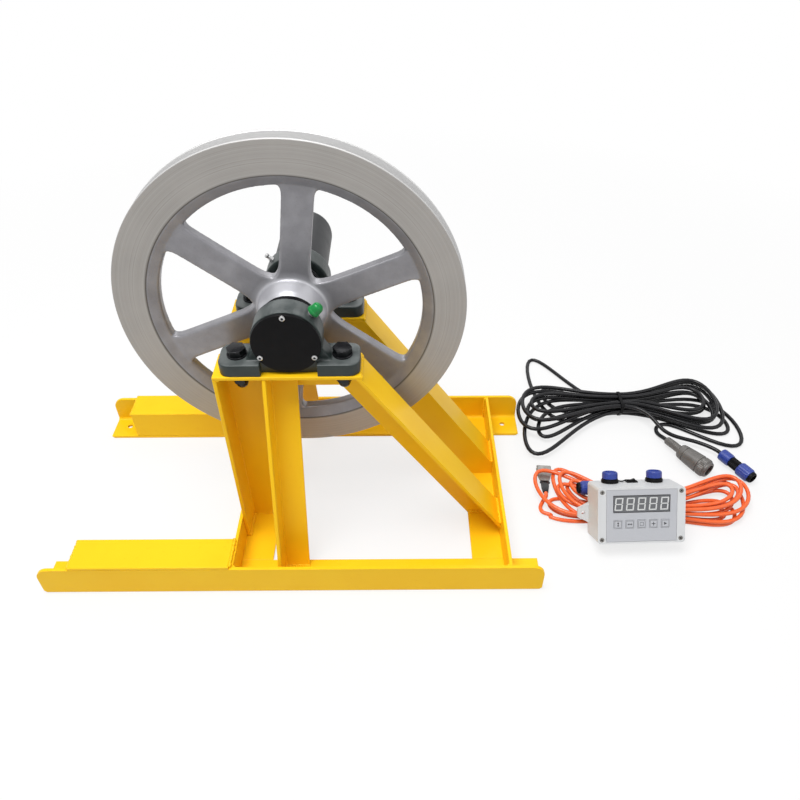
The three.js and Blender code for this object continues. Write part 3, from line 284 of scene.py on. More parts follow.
PAINT = surface(
    "sprayed yellow paint", (0.94, 0.575, 0.01), (0.89, 0.5, 0.007), (0.34, 0.46),
    cloud=(14, 0.5), relief=(700, 0.00006), wear=(0.0011, 0.3, (0.98, 0.69, 0.07)), shine=0.16,
)
# the castings' dust is raised to also paint light onto their upward faces, such as the feet's tops
IRON = surface(
    "green grey casting", (0.02, 0.029, 0.028), (0.033, 0.045, 0.043), (0.3, 0.46),
    cloud=(60, 0.7), relief=(900, 0.0001), wear=(0.001, 0.6, (0.2, 0.23, 0.23)), dust_and_top_light=0.14, shine=0.34,
)
COVER_PAINT = surface(
    "dark encoder cover", (0.014, 0.015, 0.017), (0.022, 0.023, 0.025), (0.36, 0.5),
    cloud=(50, 0.7), relief=(1300, 0.00004), wear=(0.0008, 0.4, (0.14, 0.14, 0.15)), shine=0.24,
)
CAST_SPOKE = surface(
    "cast aluminium", (0.3, 0.296, 0.315), (0.215, 0.212, 0.226), (0.34, 0.48),
    cloud=(50, 0.7), relief=(900, 0.0001), wear=(0.0012, 0.4, (0.5, 0.5, 0.52)), metallic=0.45,
)
BRIGHT_STEEL = surface(
    "ground steel", (0.55, 0.55, 0.56), (0.47, 0.47, 0.48), (0.25, 0.36),
    cloud=(90, 0.7), relief=(2200, 0.00002), metallic=1.0,
)
ZINC = surface(
    "zinc plating", (0.62, 0.62, 0.62), (0.5, 0.5, 0.5), (0.26, 0.4),
    cloud=(220, 0.7), relief=(2400, 0.00002), metallic=0.9,
)
BLACK_STEEL = surface(
    "blackened steel", (0.004, 0.0045, 0.006), (0.009, 0.0095, 0.011), (0.16, 0.28),
    cloud=(160, 0.8), relief=(1500, 0.00003), wear=(0.0006, 0.5, (0.12, 0.12, 0.13)), metallic=0.4,
)
BLACK_PLASTIC = surface(
    "black moulding", (0.003, 0.003, 0.0035), (0.006, 0.006, 0.0068), (0.4, 0.54),
    cloud=(90, 0.7), relief=(2600, 0.00003), shine=0.1,
)
GREEN_CAP = surface(
    "green cap", (0.003, 0.22, 0.045), (0.003, 0.16, 0.032), (0.26, 0.38),
    cloud=(120, 0.6), relief=(1600, 0.00003), shine=0.35,
)
BLUE_PLASTIC = surface(
    "blue moulding", (0.022, 0.05, 0.30), (0.016, 0.034, 0.21), (0.32, 0.46),
    cloud=(120, 0.6), relief=(2200, 0.00004), wear=(0.0005, 0.4, (0.1, 0.14, 0.4)),
)
WHITE_BOX = surface(
    "pale box moulding", (0.62, 0.63, 0.64), (0.57, 0.58, 0.59), (0.42, 0.54),
    cloud=(30, 0.6), relief=(2400, 0.00004), dust_and_top_light=0.03,
)
OVERLAY = surface(
    "keypad film", (0.46, 0.47, 0.5), (0.43, 0.44, 0.47), (0.34, 0.44),
    cloud=(50, 0.5), relief=(3000, 0.00002), coat=0.15,
)
WINDOW = surface(
    "smoked window", (0.11, 0.113, 0.122), (0.092, 0.095, 0.103), (0.12, 0.2),
    cloud=(20, 0.6), relief=(500, 0.00001), coat=0.5,
)
SEGMENT = surface("pale segment", (0.62, 0.63, 0.63), (0.56, 0.57, 0.57), (0.3, 0.4), cloud=(200, 0.5))
INK = surface("dark ink", (0.035, 0.035, 0.04), (0.05, 0.05, 0.055), (0.4, 0.5), cloud=(300, 0.5))
BOARD = surface("solder mask", (0.01, 0.09, 0.035), (0.015, 0.12, 0.05), (0.3, 0.4), cloud=(120, 0.7))
GREY_SHELL = surface(
    "grey connector shell", (0.105, 0.1, 0.095), (0.14, 0.132, 0.125), (0.36, 0.5),
    cloud=(140, 0.7), relief=(1800, 0.00004), wear=(0.0005, 0.6, (0.3, 0.29, 0.27)), metallic=0.3,
)
BLACK_SHEATH = surface(
    "black cable sheath", (0.0035, 0.0035, 0.0046), (0.007, 0.007, 0.009), (0.24, 0.34),
    cloud=(40, 0.8), relief=(300, 0.00003), shine=0.28,
)
ORANGE_SHEATH = surface(
    "orange lead sheath", (0.84, 0.135, 0.022), (0.74, 0.1, 0.015), (0.3, 0.44),
    cloud=(60, 0.7), relief=(300, 0.00003), coat=0.1,
)
CLIP_STEEL = surface(
    "clip sheet steel", (0.3, 0.29, 0.27), (0.2, 0.19, 0.18), (0.3, 0.45),
    cloud=(180, 0.8), relief=(1800, 0.00003), metallic=0.85,
)


def wheel_reach(tree):
    """How far a point lies from the wheel's axis, and how far along it from the wheel's middle."""
    inputs = {"Vector": object_place(tree), "Location": -WHEEL_PLACE.translation}
    centred = node(tree, "ShaderNodeMapping", inputs).outputs["Vector"]
    parts = node(tree, "ShaderNodeSeparateXYZ", {"Vector": centred}).outputs
    across, up = (arithmetic(tree, "POWER", parts[axis], 2.0) for axis in "XZ")
    radius = arithmetic(tree, "SQRT", arithmetic(tree, "ADD", across, up))
    return radius, arithmetic(tree, "ABSOLUTE", parts["Y"])


def turned_metal():
    """Machined aluminium of the rim: fine rings round the axis, a groove worn bright by the line, and a
    painted inner-edge shadow.
    """
    material, tree, shader = new_material("turned rim")
    radius, along = wheel_reach(tree)
    reach = node(tree, "ShaderNodeCombineXYZ", {"X": radius}).outputs["Vector"]
    rings = node(tree, "ShaderNodeTexNoise", {"Vector": reach, "Scale": 900.0, "Detail": 1.5}).outputs["Fac"]
    cloud = grouped(tree, MOTTLE, Scale=22, Contrast=0.7)["Cloud"]
    groove = times(tree, ramped(tree, along, 0.0114, 0.0108), ramped(tree, radius, 0.15, 0.158))
    # painted shadow: a dark band on the rim's inner edge, where the spider sits deeper than the rim's face
    painted_lip_shadow = ramped(tree, radius, 0.1462, 0.1447)
    shade = mixed(tree, cloud, (0.358, 0.338, 0.315), (0.3, 0.283, 0.263))
    shade = mixed(tree, ramped(tree, rings, 0.35, 0.75), shade, (0.43, 0.415, 0.4))
    shade = mixed(tree, groove, shade, (0.56, 0.558, 0.556))
    shade = mixed(tree, painted_lip_shadow, shade, (0.13, 0.125, 0.12))
    bump = node(tree, "ShaderNodeBump", {"Height": rings, "Distance": 0.000008, "Strength": 0.5})
    feed(tree, shader, {
        "Base Color": shade, "Roughness": ramped(tree, rings, 0, 1, 0.4, 0.52), "Metallic": 0.55,
        "Normal": bump.outputs["Normal"],
    })
    return material


def cast_metal():
    """Cast aluminium of the spokes, with a painted highlight: lighter round the hub, for the light its faces
    catch.
    """
    material = CAST_SPOKE.copy()
    material.name = "cast wheel"
    tree = material.node_tree
    base = tree.nodes["Principled BSDF"].inputs["Base Color"]
    # painted highlight: the hub is made lighter than the spokes, standing for the light on its upward faces
    hub = ramped(tree, wheel_reach(tree)[0], 0.044, 0.034)
    tree.links.new(mixed(tree, hub, base.links[0].from_socket, (0.5, 0.5, 0.53)), base)
    return material


CAST_WHEEL = cast_metal()
TURNED_RIM = turned_metal()

SLOT_FINISH = {
    "yellow_paint": PAINT, "green_iron": IRON, "bearing_steel": BRIGHT_STEEL, "black_plastic": BLACK_PLASTIC,
    "zinc_steel": ZINC, "green_plastic": GREEN_CAP, "black_steel": BLACK_STEEL, "cast_aluminium": CAST_SPOKE,
    "white_plastic": WHITE_BOX, "grey_overlay": OVERLAY, "display_window": WINDOW, "circuit_board": BOARD,
    "blue_plastic": BLUE_PLASTIC, "grey_plastic": GREY_SHELL, "black_cable": BLACK_SHEATH,
    "orange_cable": ORANGE_SHEATH, "clip_steel": CLIP_STEEL,
}
SLOT_OF = {row["node"]: row["material_slot"] for row in frame["record"]["subparts"]}
BODY_OF = {name: body for body, names in frame["record"]["behaviour"]["bodies"].items() for name in names}

for name, cad in frame["nodes"].items():
    cad.data.materials.clear()
    cad.data.materials.append(SLOT_FINISH[SLOT_OF[name]])


# Shaping

def mesh_of(bm, name):
    """A mesh of a bmesh, which is used up."""
    mesh = bpy.data.meshes.new(name)
    bm.to_mesh(mesh)
    bm.free()
    return mesh


def shown(name, data):
    """A new object of the scene."""
    made = bpy.data.objects.new(name, data)
    bpy.context.scene.collection.objects.link(made)
    return made


def piece(bm, name, slot, body="recorder", material=None, place=None, stands_for=None, angle=35, even=True):
    """Makes a finished piece of a bmesh, whose sizes are millimetres where a place is given."""
    if place is not None:
        bmesh.ops.transform(bm, matrix=place @ Matrix.Scale(MM, 4), verts=bm.verts)
        bmesh.ops.recalc_face_normals(bm, faces=bm.faces)
    for face in bm.faces:
        face.smooth = True
    for edge in bm.edges:
        edge.smooth = len(edge.link_faces) == 2 and edge.calc_face_angle() < math.radians(angle)
    mesh = mesh_of(bm, name)
    mesh.materials.append(material or SLOT_FINISH[slot])
    made = shown(name, mesh)
    if even:
        made.modifiers.new("even shading", "WEIGHTED_NORMAL").keep_sharp = True
    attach(made, body)
    if stands_for:
        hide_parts(stands_for)
    return made


def welded_copy(name):
    """A node's own mesh, its loose triangles joined and its flat faces whole again."""
    bm = bmesh.new()
    bm.from_mesh(frame["nodes"][name].data)
    bmesh.ops.remove_doubles(bm, verts=bm.verts, dist=1e-6)
    bmesh.ops.dissolve_limit(bm, angle_limit=math.radians(0.6), verts=bm.verts, edges=bm.edges)
    return bm


def broken_edges(bm, width, segments=2, sharper_than=40):
    """Rounds every edge that turns by more than an angle."""
    limit = math.radians(sharper_than)
    sharp = [e for e in bm.edges if len(e.link_faces) == 2 and e.calc_face_angle() > limit]
    bmesh.ops.bevel(
        bm, geom=sharp, offset=width, offset_type="OFFSET", segments=segments, profile=0.5,
        affect="EDGES", material=-1, clamp_overlap=True,
    )
    return bm


def softened(name, width, segments=2):
    """A node's shape with its edges rounded, standing for the node."""
    bm = broken_edges(welded_copy(name), width * MM, segments)
    return piece(bm, f"{name}_dressed", SLOT_OF[name], BODY_OF[name], stands_for=name)


def mirrored(half):
    """A profile of points (radius, height) with its mirror image below z = 0."""
    return half + [(radius, -height) for radius, height in reversed(half)]


def revolve(profile, steps=96):
    """A solid of revolution about +Z from points (radius, height), whole where it meets the axis."""
    bm = bmesh.new()
    ring = [bm.verts.new((radius, 0, height)) for radius, height in profile]
    edges = [bm.edges.new(pair) for pair in zip(ring, ring[1:])]
    if profile[0][0] > 0 or profile[-1][0] > 0:
        edges.append(bm.edges.new((ring[-1], ring[0])))
    bmesh.ops.spin(
        bm, geom=ring + edges, cent=(0, 0, 0), axis=(0, 0, 1), angle=math.tau, steps=steps, use_merge=True,
    )
    bmesh.ops.remove_doubles(bm, verts=bm.verts, dist=1e-4)
    bmesh.ops.recalc_face_normals(bm, faces=bm.faces)
    return bm


def points_of(grown):
    return [part for part in grown["geom"] if isinstance(part, bmesh.types.BMVert)]


def plate(outline, low, high):
    """A plate of an outline in XY, along Z from low to high."""
    bm = bmesh.new()
    face = bm.faces.new([bm.verts.new((x, y, low)) for x, y in outline])
    grown = bmesh.ops.extrude_face_region(bm, geom=[face])
    bmesh.ops.translate(bm, vec=(0, 0, high - low), verts=points_of(grown))
    bmesh.ops.recalc_face_normals(bm, faces=bm.faces)
    return bm


def fluted(radius, depth, flutes, low, high):
    """A grip ring: a prism whose rim goes in and out, along Z from low to high."""
    outline = []
    for i in range(flutes * 2):
        angle = math.pi * i / flutes
        reach = radius - (depth if i % 2 else 0)
        outline.append((reach * math.cos(angle), reach * math.sin(angle)))
    return plate(outline, low, high)


def cuboid(low, high):
    bm = bmesh.new()
    bmesh.ops.create_cube(bm, size=1)
    bmesh.ops.scale(bm, vec=[b - a for a, b in zip(low, high)], verts=bm.verts)
    bmesh.ops.translate(bm, vec=[(a + b) / 2 for a, b in zip(low, high)], verts=bm.verts)
    return bm


def bar_frame(w, h, line, thickness):
    """Four bars round a rectangle, whose half width is w and half height h."""
    bars = [cuboid((-w, y, 0), (w, y + line, thickness)) for y in (-h, h - line)]
    bars += [cuboid((x, line - h, 0), (x + line, h - line, thickness)) for x in (-w, w - line)]
    return together(*bars)


def together(*parts):
    """One bmesh that holds several, which are used up."""
    whole = bmesh.new()
    for part in parts:
        mesh = mesh_of(part, "part")
        whole.from_mesh(mesh)
        bpy.data.meshes.remove(mesh)
    return whole


def placed(bm, matrix):
    bmesh.ops.transform(bm, matrix=matrix, verts=bm.verts)
    return bm


def made_shape(helper):
    """A bmesh of a helper object as its modifiers or its curve make it; the helper is used up."""
    result = helper.evaluated_get(bpy.context.evaluated_depsgraph_get())
    bm = bmesh.new()
    bm.from_mesh(result.to_mesh())
    bpy.data.objects.remove(helper)
    return bm


def fused(bm, voxel, rounds):
    """Melts overlapping shapes into one cast surface with small fillets, on a grid of voxels."""
    mesh = mesh_of(bm, "casting")
    helper = shown("casting", mesh)
    remesh = helper.modifiers.new("remesh", "REMESH")
    remesh.mode = "VOXEL"
    remesh.voxel_size = voxel
    melted = made_shape(helper)
    bpy.data.meshes.remove(mesh)
    for _ in range(rounds):
        bmesh.ops.smooth_vert(
            melted, verts=melted.verts, factor=0.5, use_axis_x=True, use_axis_y=True, use_axis_z=True,
        )
    return melted


def aim(start, end):
    """A placement that puts +Z along the line from start to end, both in stand millimetres."""
    line = Vector(end) - Vector(start)
    return stand_place(*start) @ line.to_track_quat("Z", "Y").to_matrix().to_4x4()


# The camera, the light and the floor

def set_camera():
    camera = shown("camera", bpy.data.cameras.new("camera"))
    camera.data.lens = CAMERA_LENS
    camera.data.sensor_width = SENSOR_WIDTH
    camera.data.clip_end = CAMERA_REACH
    camera.matrix_world = stand_place(*CAMERA_PLACE) @ turn(90 - CAMERA_DOWN, "X") @ turn(CAMERA_ROLL, "Z")
    bpy.context.scene.camera = camera


def add_lamp(name, place, size, power):
    lamp = bpy.data.lights.new(name, "AREA")
    lamp.shape = "DISK"
    lamp.size = size
    lamp.energy = power
    ahead = Vector(LAMP_TARGET) - Vector(place)
    shown(name, lamp).matrix_world = shift(*place) @ ahead.to_track_quat("-Z", "Y").to_matrix().to_4x4()


def looked_at(tree):
    """One where the camera, a reflection or a clear piece shows the surroundings, else zero."""
    path = node(tree, "ShaderNodeLightPath").outputs
    mirrored_ray = arithmetic(tree, "MAXIMUM", path["Is Glossy Ray"], path["Is Transmission Ray"])
    return arithmetic(tree, "MAXIMUM", path["Is Camera Ray"], mirrored_ray)


def blended(tree, amount, first, second, output):
    """Sends a blend of two shaders to the tree's output node."""
    blend = node(tree, "ShaderNodeMixShader", {0: amount, 1: first, 2: second})
    tree.links.new(blend.outputs["Shader"], tree.nodes[output].inputs["Surface"])


def set_light():
    scene = bpy.context.scene
    scene.view_settings.view_transform = "Standard"
    scene.world = bpy.data.worlds.new("studio")
    scene.world.use_nodes = True
    tree = scene.world.node_tree
    sky = tree.nodes["Background"]
    feed(tree, sky.inputs, {"Color": WHITE, "Strength": SKY_LEVEL})
    white = node(tree, "ShaderNodeBackground", {"Color": WHITE, "Strength": 1.0})
    blended(tree, looked_at(tree), sky.outputs["Background"], white.outputs["Background"], "World Output")
    for name, lamp in LAMPS.items():
        add_lamp(name, *lamp)


def lay_floor():
    """A pale floor that takes the shadow, and fades to white further out."""
    bm = bmesh.new()
    bmesh.ops.create_grid(bm, x_segments=1, y_segments=1, size=FLOOR_HALF)
    bmesh.ops.translate(bm, vec=(0, 0, -FLOOR_DROP), verts=bm.verts)
    mesh = mesh_of(bm, "floor")
    material, tree, shader = new_material("pale floor")
    feed(tree, shader, {"Base Color": FLOOR_TONE, "Roughness": 0.7, "Specular IOR Level": 0.1})
    reach = node(tree, "ShaderNodeVectorMath", {0: object_place(tree)}, operation="LENGTH").outputs["Value"]
    fade = ramped(tree, reach, *FLOOR_FADE, FLOOR_WHITE, 1.0)
    white = node(tree, "ShaderNodeEmission", {"Color": WHITE, "Strength": 1.0}).outputs["Emission"]
    lit = tree.nodes["Principled BSDF"].outputs["BSDF"]
    blended(tree, times(tree, fade, looked_at(tree)), lit, white, "Material Output")
    mesh.materials.append(material)
    shown("floor", mesh)


# The two cables, with the route of their solids

SWING_STEPS = 36
LIFT_FADE = 6
CLIMB = 0.1
FLOOR_GAP = 0.2
CROSSINGS = (1.5, 1.5, 1.5, 0.5, 0.5, 0.5, 1.5, 1.5, 2.5, 1.5, 1.5, 0.5, 0.5, 0.5, 1.5, 1.5, 2.5)

BLACK_HANK = {
    "centre": (725, 302), "step": 6.4, "layer": 6.3, "lift": 1.8, "diameter": 5.5, "first": 0, "start": 0.16,
    "lobes": [
        (161, -45, 112, 0), (118, 75, 160, 0), (148, -34, 70, 0), (103, 34, 58, 0),
        (126, 8, 56, 1), (122, -50, 60, 1), (139, 6, 100, 1), (143, -68, 112, 1),
        (143, -6, 122, 2), (147, -22, 96, 2), (129, -14, 80, 2), (133, -18, 58, 2),
        (120, 2, 62, 3), (127, -8, 46, 3), (136, 0, 106, 3), (140, -10, 84, 3),
    ],
    "head": [
        (776.29, 231.48, 8.74), (773.6, 238, 7.2), (770.8, 246, 4.6), (769.4, 254.5, 3.2), (772, 263, 3),
        (779.6, 268.6, 3), (789.6, 268.8, 3), (798.6, 264.8, 3),
    ],
    "tail": [
        (742, 282.3, 23.4), (754, 274.4, 22.6), (763, 263.6, 19.8), (769.5, 253, 16.4), (776.6, 244.6, 13.2),
        (787, 238, 10.9), (800, 232.4, 10.2), (814, 226.5, 10.2), (828, 217.5, 10.4), (836.4, 209.6, 10.6),
        (840.25, 203.87, 10.6),
    ],
}
ORANGE_HANK = {
    "centre": (714, 107.4), "step": 5.8, "layer": 5.8, "lift": 0, "diameter": 5, "first": 1, "start": 0.64,
    "lobes": [
        (136, 22, 54, 0), (112, 1, 46, 0), (116, 16, 32, 0), (100, 1, 29, 0),
        (90, 38, 36, 1), (114, 20, 42, 1), (106, 48, 88, 1), (127, 22, 76, 1),
        (131, 43, 78, 2), (135, 29, 64, 2), (104, 30, 40, 2), (123, 28, 38, 2),
        (88, 34, 32, 3), (113, 25, 33, 3), (101, 38, 66, 3), (126, 33, 52, 3),
    ],
    "head": [
        (595.97, 140.7, 5.2), (595.43, 134.73, 5.2), (590, 126.5, 4), (586, 118, 2.8), (588, 110.5, 2.7),
        (597, 106, 2.7),
    ],
    "tail": [
        (707, 123.6, 21.8), (701, 124.4, 26), (694.3, 124, 31.4), (688.3, 124, 32.2), (682.3, 124, 32.2),
    ],
}


def eased(t):
    return t * t * (3 - 2 * t)


def climbed(t, before, level, after):
    """A half turn's layer at its share t: it climbs from and to its neighbours at the waist."""
    if t < CLIMB:
        return before + (level - before) * eased(0.5 + t / CLIMB / 2)
    if t > 1 - CLIMB:
        return level + (after - level) * eased((t - 1 + CLIMB) / CLIMB / 2)
    return level


def curved(before, points, after, steps=5):
    """A smooth line through points, given a neighbour at each end for its direction there."""
    chain = [Vector(p) for p in (before, *points, after)]
    line = []
    for p0, p1, p2, p3 in zip(chain, chain[1:], chain[2:], chain[3:]):
        for k in range(steps):
            t = k / steps
            bend, twist = 2 * p0 - 5 * p1 + 4 * p2 - p3, 3 * p1 - p0 - 3 * p2 + p3
            line.append(p1 + ((p2 - p0) * t + bend * t * t + twist * t ** 3) / 2)
    return line + [chain[-2]]


def hank_route(hank):
    """The cable's centre line: its lead-in, its half turns from side to side, and its lead-out."""
    points = []
    lobes = hank["lobes"]
    for i, (reach, sway, full, level) in enumerate(lobes):
        to_right = (i + hank["first"]) % 2 == 0
        start = -math.pi / 2 if to_right else math.pi / 2
        before = lobes[i - 1][3] if i else level
        after = lobes[i + 1][3] if i + 1 < len(lobes) else level
        first = 1 if i else round(hank["start"] * 12) * SWING_STEPS // 12
        for k in range(first, SWING_STEPS + 1):
            t = k / SWING_STEPS
            angle = start + math.pi * t
            along = math.cos(angle)
            bow = along * along
            waist = hank["step"] * (CROSSINGS[i] * (1 - eased(t)) + CROSSINGS[i + 1] * eased(t))
            across = math.sin(angle) * (waist + (full - waist) * bow) + sway * bow
            height = FLOOR_GAP + hank["diameter"] / 2 + hank["lift"] * (1 - bow) ** LIFT_FADE
            height += hank["layer"] * climbed(t, before, level, after)
            points.append(Vector((hank["centre"][0] + reach * along, hank["centre"][1] + across, height)))
    entry, leave = hank["head"], hank["tail"]
    start = Vector(entry[0]) * 2 - Vector(entry[1])
    end = Vector(leave[-1]) * 2 - Vector(leave[-2])
    lead_in = curved(start, [*entry, points[0]], points[1])[:-1]
    lead_out = curved(points[-2], [points[-1], *leave], end)[1:]
    return lead_in + points + lead_out


def round_line(name, route, depth, resolution):
    """A round curve along a route; its depth and the route are in metres."""
    curve = bpy.data.curves.new(name, "CURVE")
    curve.dimensions = "3D"
    curve.bevel_depth = depth
    curve.bevel_resolution = resolution
    curve.use_fill_caps = True
    spline = curve.splines.new("POLY")
    spline.points.add(len(route) - 1)
    for point, place in zip(spline.points, route):
        point.co = (*place, 1)
    spline.use_smooth = True
    return curve


def add_cable(name, hank):
    route = [at(*p) for p in hank_route(hank)]
    curve = round_line(name, route, hank["diameter"] / 2 * MM, 4)
    slot = SLOT_OF[f"{name}_hank"]
    curve.materials.append(SLOT_FINISH[slot])
    cable = shown(name, curve)
    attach(cable, "recorder")
    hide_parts(f"{name}_hank")


# Plugs, clip and tie

GREY_SLEEVE = [(776.4, 231.2, 8.8), (779.3, 224, 10.4), (782.4, 216, 12.2), (786, 207.6, 13.2)]
GREY_END = (812.2, 169.6, 13.2)
BLUE_START = (840.4, 203.6, 10.6)
BLUE_END = (866, 157, 10.6)
ORANGE_PLUG_START = (682, 124, 32.2)
ORANGE_PLUG_END = (629, 124, 32.2)
CLIP_START = (596, 141, 5.2)
CLIP_END = (600, 185, 5.2)
CLIP_PIN_AT = 17


def span(start, end):
    return (Vector(end) - Vector(start)).length


def tube(route, radii):
    """A bmesh round a line of points, in metres; each point has its own radius in millimetres."""
    line = round_line("line", route, MM, 6)
    for point, radius in zip(line.splines[0].points, radii):
        point.radius = radius
    skin = made_shape(shown("line", line))
    bmesh.ops.remove_doubles(skin, verts=skin.verts, dist=1e-6)
    bmesh.ops.recalc_face_normals(skin, faces=skin.faces)
    return skin


def grey_plug():
    """Round connector: a gland ring, a shell that widens, and a coupling ring with a blunt end."""
    start = GREY_SLEEVE[-1]
    length = span(start, GREY_END)
    neck, groove, lip = 0.2 * length, 0.7 * length, 0.92 * length
    body = revolve([
        (0, 0), (7.4, 0), (8.6, 0.5), (9.4, 1.6), (9.9, 2.6), (10.7, neck - 0.8), (10.7, neck - 0.3),
        (9.9, neck), (9.9, neck + 0.8), (10.9, neck + 1.2), (11.5, neck + 7), (12.4, groove - 3),
        (12.6, groove - 0.7), (12.3, groove - 0.2), (11.6, groove), (11.6, groove + 1.4),
        (12.3, groove + 1.6), (12.3, lip - 0.6), (11.9, lip), (11.2, lip + 0.3), (11.2, lip + 0.9),
        (10.9, length - 1.4), (10.2, length - 0.3), (9.4, length), (7.8, length), (7.6, length - 0.5),
        (7.6, length - 4), (0, length - 4),
    ])
    ring = broken_edges(fluted(12.75, 0.4, 36, groove + 2.1, lip - 1), 0.25, 1, 60)
    whole = together(body, ring)
    made = piece(whole, "grey_connector", "grey_plastic", place=aim(start, GREY_END), stands_for="grey_plug")
    inward = Vector(start).lerp(Vector(GREY_END), 0.05)
    before = Vector(GREY_SLEEVE[0]) * 2 - Vector(GREY_SLEEVE[1])
    route = curved(before, GREY_SLEEVE + [inward], GREY_END, 14)
    radii = []
    for i in range(len(route)):
        along = i / len(route)
        ribbed = 0.3 if 0.3 < along < 0.7 and i % 4 < 2 else 0
        radii.append(5.4 + 0.4 * along - ribbed)
    radii[:2] = 4.5, 5.1
    boot = tube([at(*p) for p in route], radii)
    piece(boot, "grey_connector_boot", "grey_plastic", stands_for="grey_plug", even=False)
    return made


def blue_connector(name, start, end, stands_for, s, blue_nose=False):
    """Small plug: a domed blue nut, a dark ribbed waist, a blue ring, and an open nose; s scales it."""
    length = span(start, end)
    nut_end, waist_end, ring_end = (length * share for share in (0.3, 0.59, 0.9))
    core = revolve([
        (0, 0), (4.2, 0), (5.2, 0.8), (6.6, 1.6), (7 * s, nut_end), (7 * s, ring_end),
        (8 * s, ring_end + 0.2), (8.2 * s, length - 2.4), (7.6 * s, length - 0.7), (6.8 * s, length),
        (5.9 * s, length), (5.7 * s, length - 0.5), (5.7 * s, length - 5), (0, length - 5),
    ], 64)
    ribs = fluted(7.6 * s, 0.5, 26, nut_end + 1.6, waist_end - 0.3)
    ends = revolve([
        (5, 0.5), (6.6, 0.7), (7.9, 1.5), (8.4 * s, 2.7), (8.4 * s, nut_end - 1.2), (8, nut_end + 0.6),
        (7.2 * s, nut_end + 1.2), (5, nut_end + 1.2),
    ], 64)
    collar = revolve([
        (6, waist_end - 0.4), (8.6 * s, waist_end - 0.4), (9.4 * s, waist_end + 0.5),
        (9.5 * s, ring_end - 0.5), (8.9 * s, ring_end + 0.6), (8.3 * s, ring_end + 0.9), (6, ring_end + 0.9),
    ], 64)
    nut = broken_edges(fluted(8.9 * s, 0.4, 14, 2.4, nut_end - 0.9), 0.4, 2, 50)
    ring = broken_edges(fluted(9.9 * s, 0.4, 22, waist_end + 1, ring_end - 0.8), 0.4, 2, 50)
    blue = [nut, ring, ends, collar]
    if blue_nose:
        blue.append(fluted(8.3 * s, 0.25, 24, ring_end, length - 2.6))
    place = aim(start, end)
    made = piece(together(core, ribs), f"{name}_core", "black_plastic", place=place, stands_for=stands_for)
    piece(together(*blue), f"{name}_grips", "blue_plastic", place=place, stands_for=stands_for)
    return made


def cable_tie(hank):
    """A thin band drawn tight round the cables where they cross the hank's waist, with its lock."""
    middle, reach, half, steps = hank["centre"][0], hank["diameter"] / 2, 1.9, 120
    route = hank_route(hank)
    crossed = []
    for a, b in zip(route, route[1:]):
        if (a.x - middle) * (b.x - middle) <= 0 and a.x != b.x:
            crossed.append(a.lerp(b, (middle - a.x) / (b.x - a.x)))

    def outside(angle, rise):
        out = Vector((0, math.cos(angle), math.sin(angle)))
        return max(crossed, key=out.dot) + out * (reach + rise)

    band = bmesh.new()
    edges = []
    for rise in (0.15, 1.1):
        corners = [outside(math.tau * i / steps, rise) - Vector((half, 0, 0)) for i in range(steps)]
        ring = [band.verts.new(corner) for corner in corners]
        edges += [band.edges.new(pair) for pair in zip(ring, ring[1:] + ring[:1])]
    faces = bmesh.ops.bridge_loops(band, edges=edges)["faces"]
    grown = bmesh.ops.extrude_face_region(band, geom=faces)
    bmesh.ops.translate(band, vec=(2 * half, 0, 0), verts=points_of(grown))
    lock = broken_edges(cuboid((-2.4, -2.6, 0.9), (2.4, 2.6, 3.4)), 0.5)
    placed(lock, Matrix.Translation(outside(math.radians(126), 0)) @ turn(36, "X"))
    return piece(
        together(band, lock), "cable_tie_drawn_tight", SLOT_OF["black_cable_tie"], place=stand_place(0, 0, 0),
        stands_for="black_cable_tie",
    )


def clip_half(side, stations):
    """A strip of sheet with lips, drawn out along +Z through stations (along, rise, width)."""
    half = bmesh.new()
    start, first, wide = stations[0]
    outline = [(-5.6, -1.5), (-5, 0), (5, 0), (5.6, -1.5)]
    row = [half.verts.new((x * wide, (z + first) * side, start)) for x, z in outline]
    edges = [half.edges.new(pair) for pair in zip(row, row[1:])]
    for (along, rise, wide), (next_along, next_rise, next_wide) in zip(stations, stations[1:]):
        grown = bmesh.ops.extrude_edge_only(half, edges=edges)
        edges = [e for e in grown["geom"] if isinstance(e, bmesh.types.BMEdge)]
        row = points_of(grown)
        bmesh.ops.scale(half, vec=(next_wide / wide, 1, 1), verts=row)
        bmesh.ops.translate(half, vec=(0, (next_rise - rise) * side, next_along - along), verts=row)
    bmesh.ops.recalc_face_normals(half, faces=half.faces)
    bmesh.ops.solidify(half, geom=half.faces, thickness=0.7)
    return half


def battery_clip():
    """Spring clip: blackened jaws with a coiled spring on a pin, and broad bare grips behind it."""
    grip_stations = [(19, 1.9, 1), (26, 2.6, 1.4), (36, 3.6, 1.7), (span(CLIP_START, CLIP_END), 3.9, 1.7)]
    jaw_stations = [(0, 2.2, 0.62), (8, 3, 0.84), (15, 2, 0.95), (19.4, 1.8, 1)]
    grips, jaws = ([clip_half(side, row) for side in (1, -1)] for row in (grip_stations, jaw_stations))
    for i in range(5):
        wire = revolve([(1.7, -0.6), (2.4, -0.6), (2.9, 0), (2.4, 0.6), (1.7, 0.6)], 20)
        jaws.append(placed(wire, shift(i * 1.4 - 2.8, 0, CLIP_PIN_AT) @ turn(90, "Y")))
    pin = revolve([(0, -6.4), (1.5, -6.4), (1.5, 6.4), (0, 6.4)], 24)
    jaws.append(placed(pin, shift(0, 0, CLIP_PIN_AT) @ turn(90, "Y")))
    shared = {"slot": "clip_steel", "place": aim(CLIP_START, CLIP_END), "stands_for": "battery_clip"}
    piece(together(*jaws), "spring_clip_jaws", material=BLACK_STEEL, **shared)
    return piece(together(*grips), "spring_clip_grips", **shared)


# Stand, with welds where the photograph shows them and their mirror images at the rear

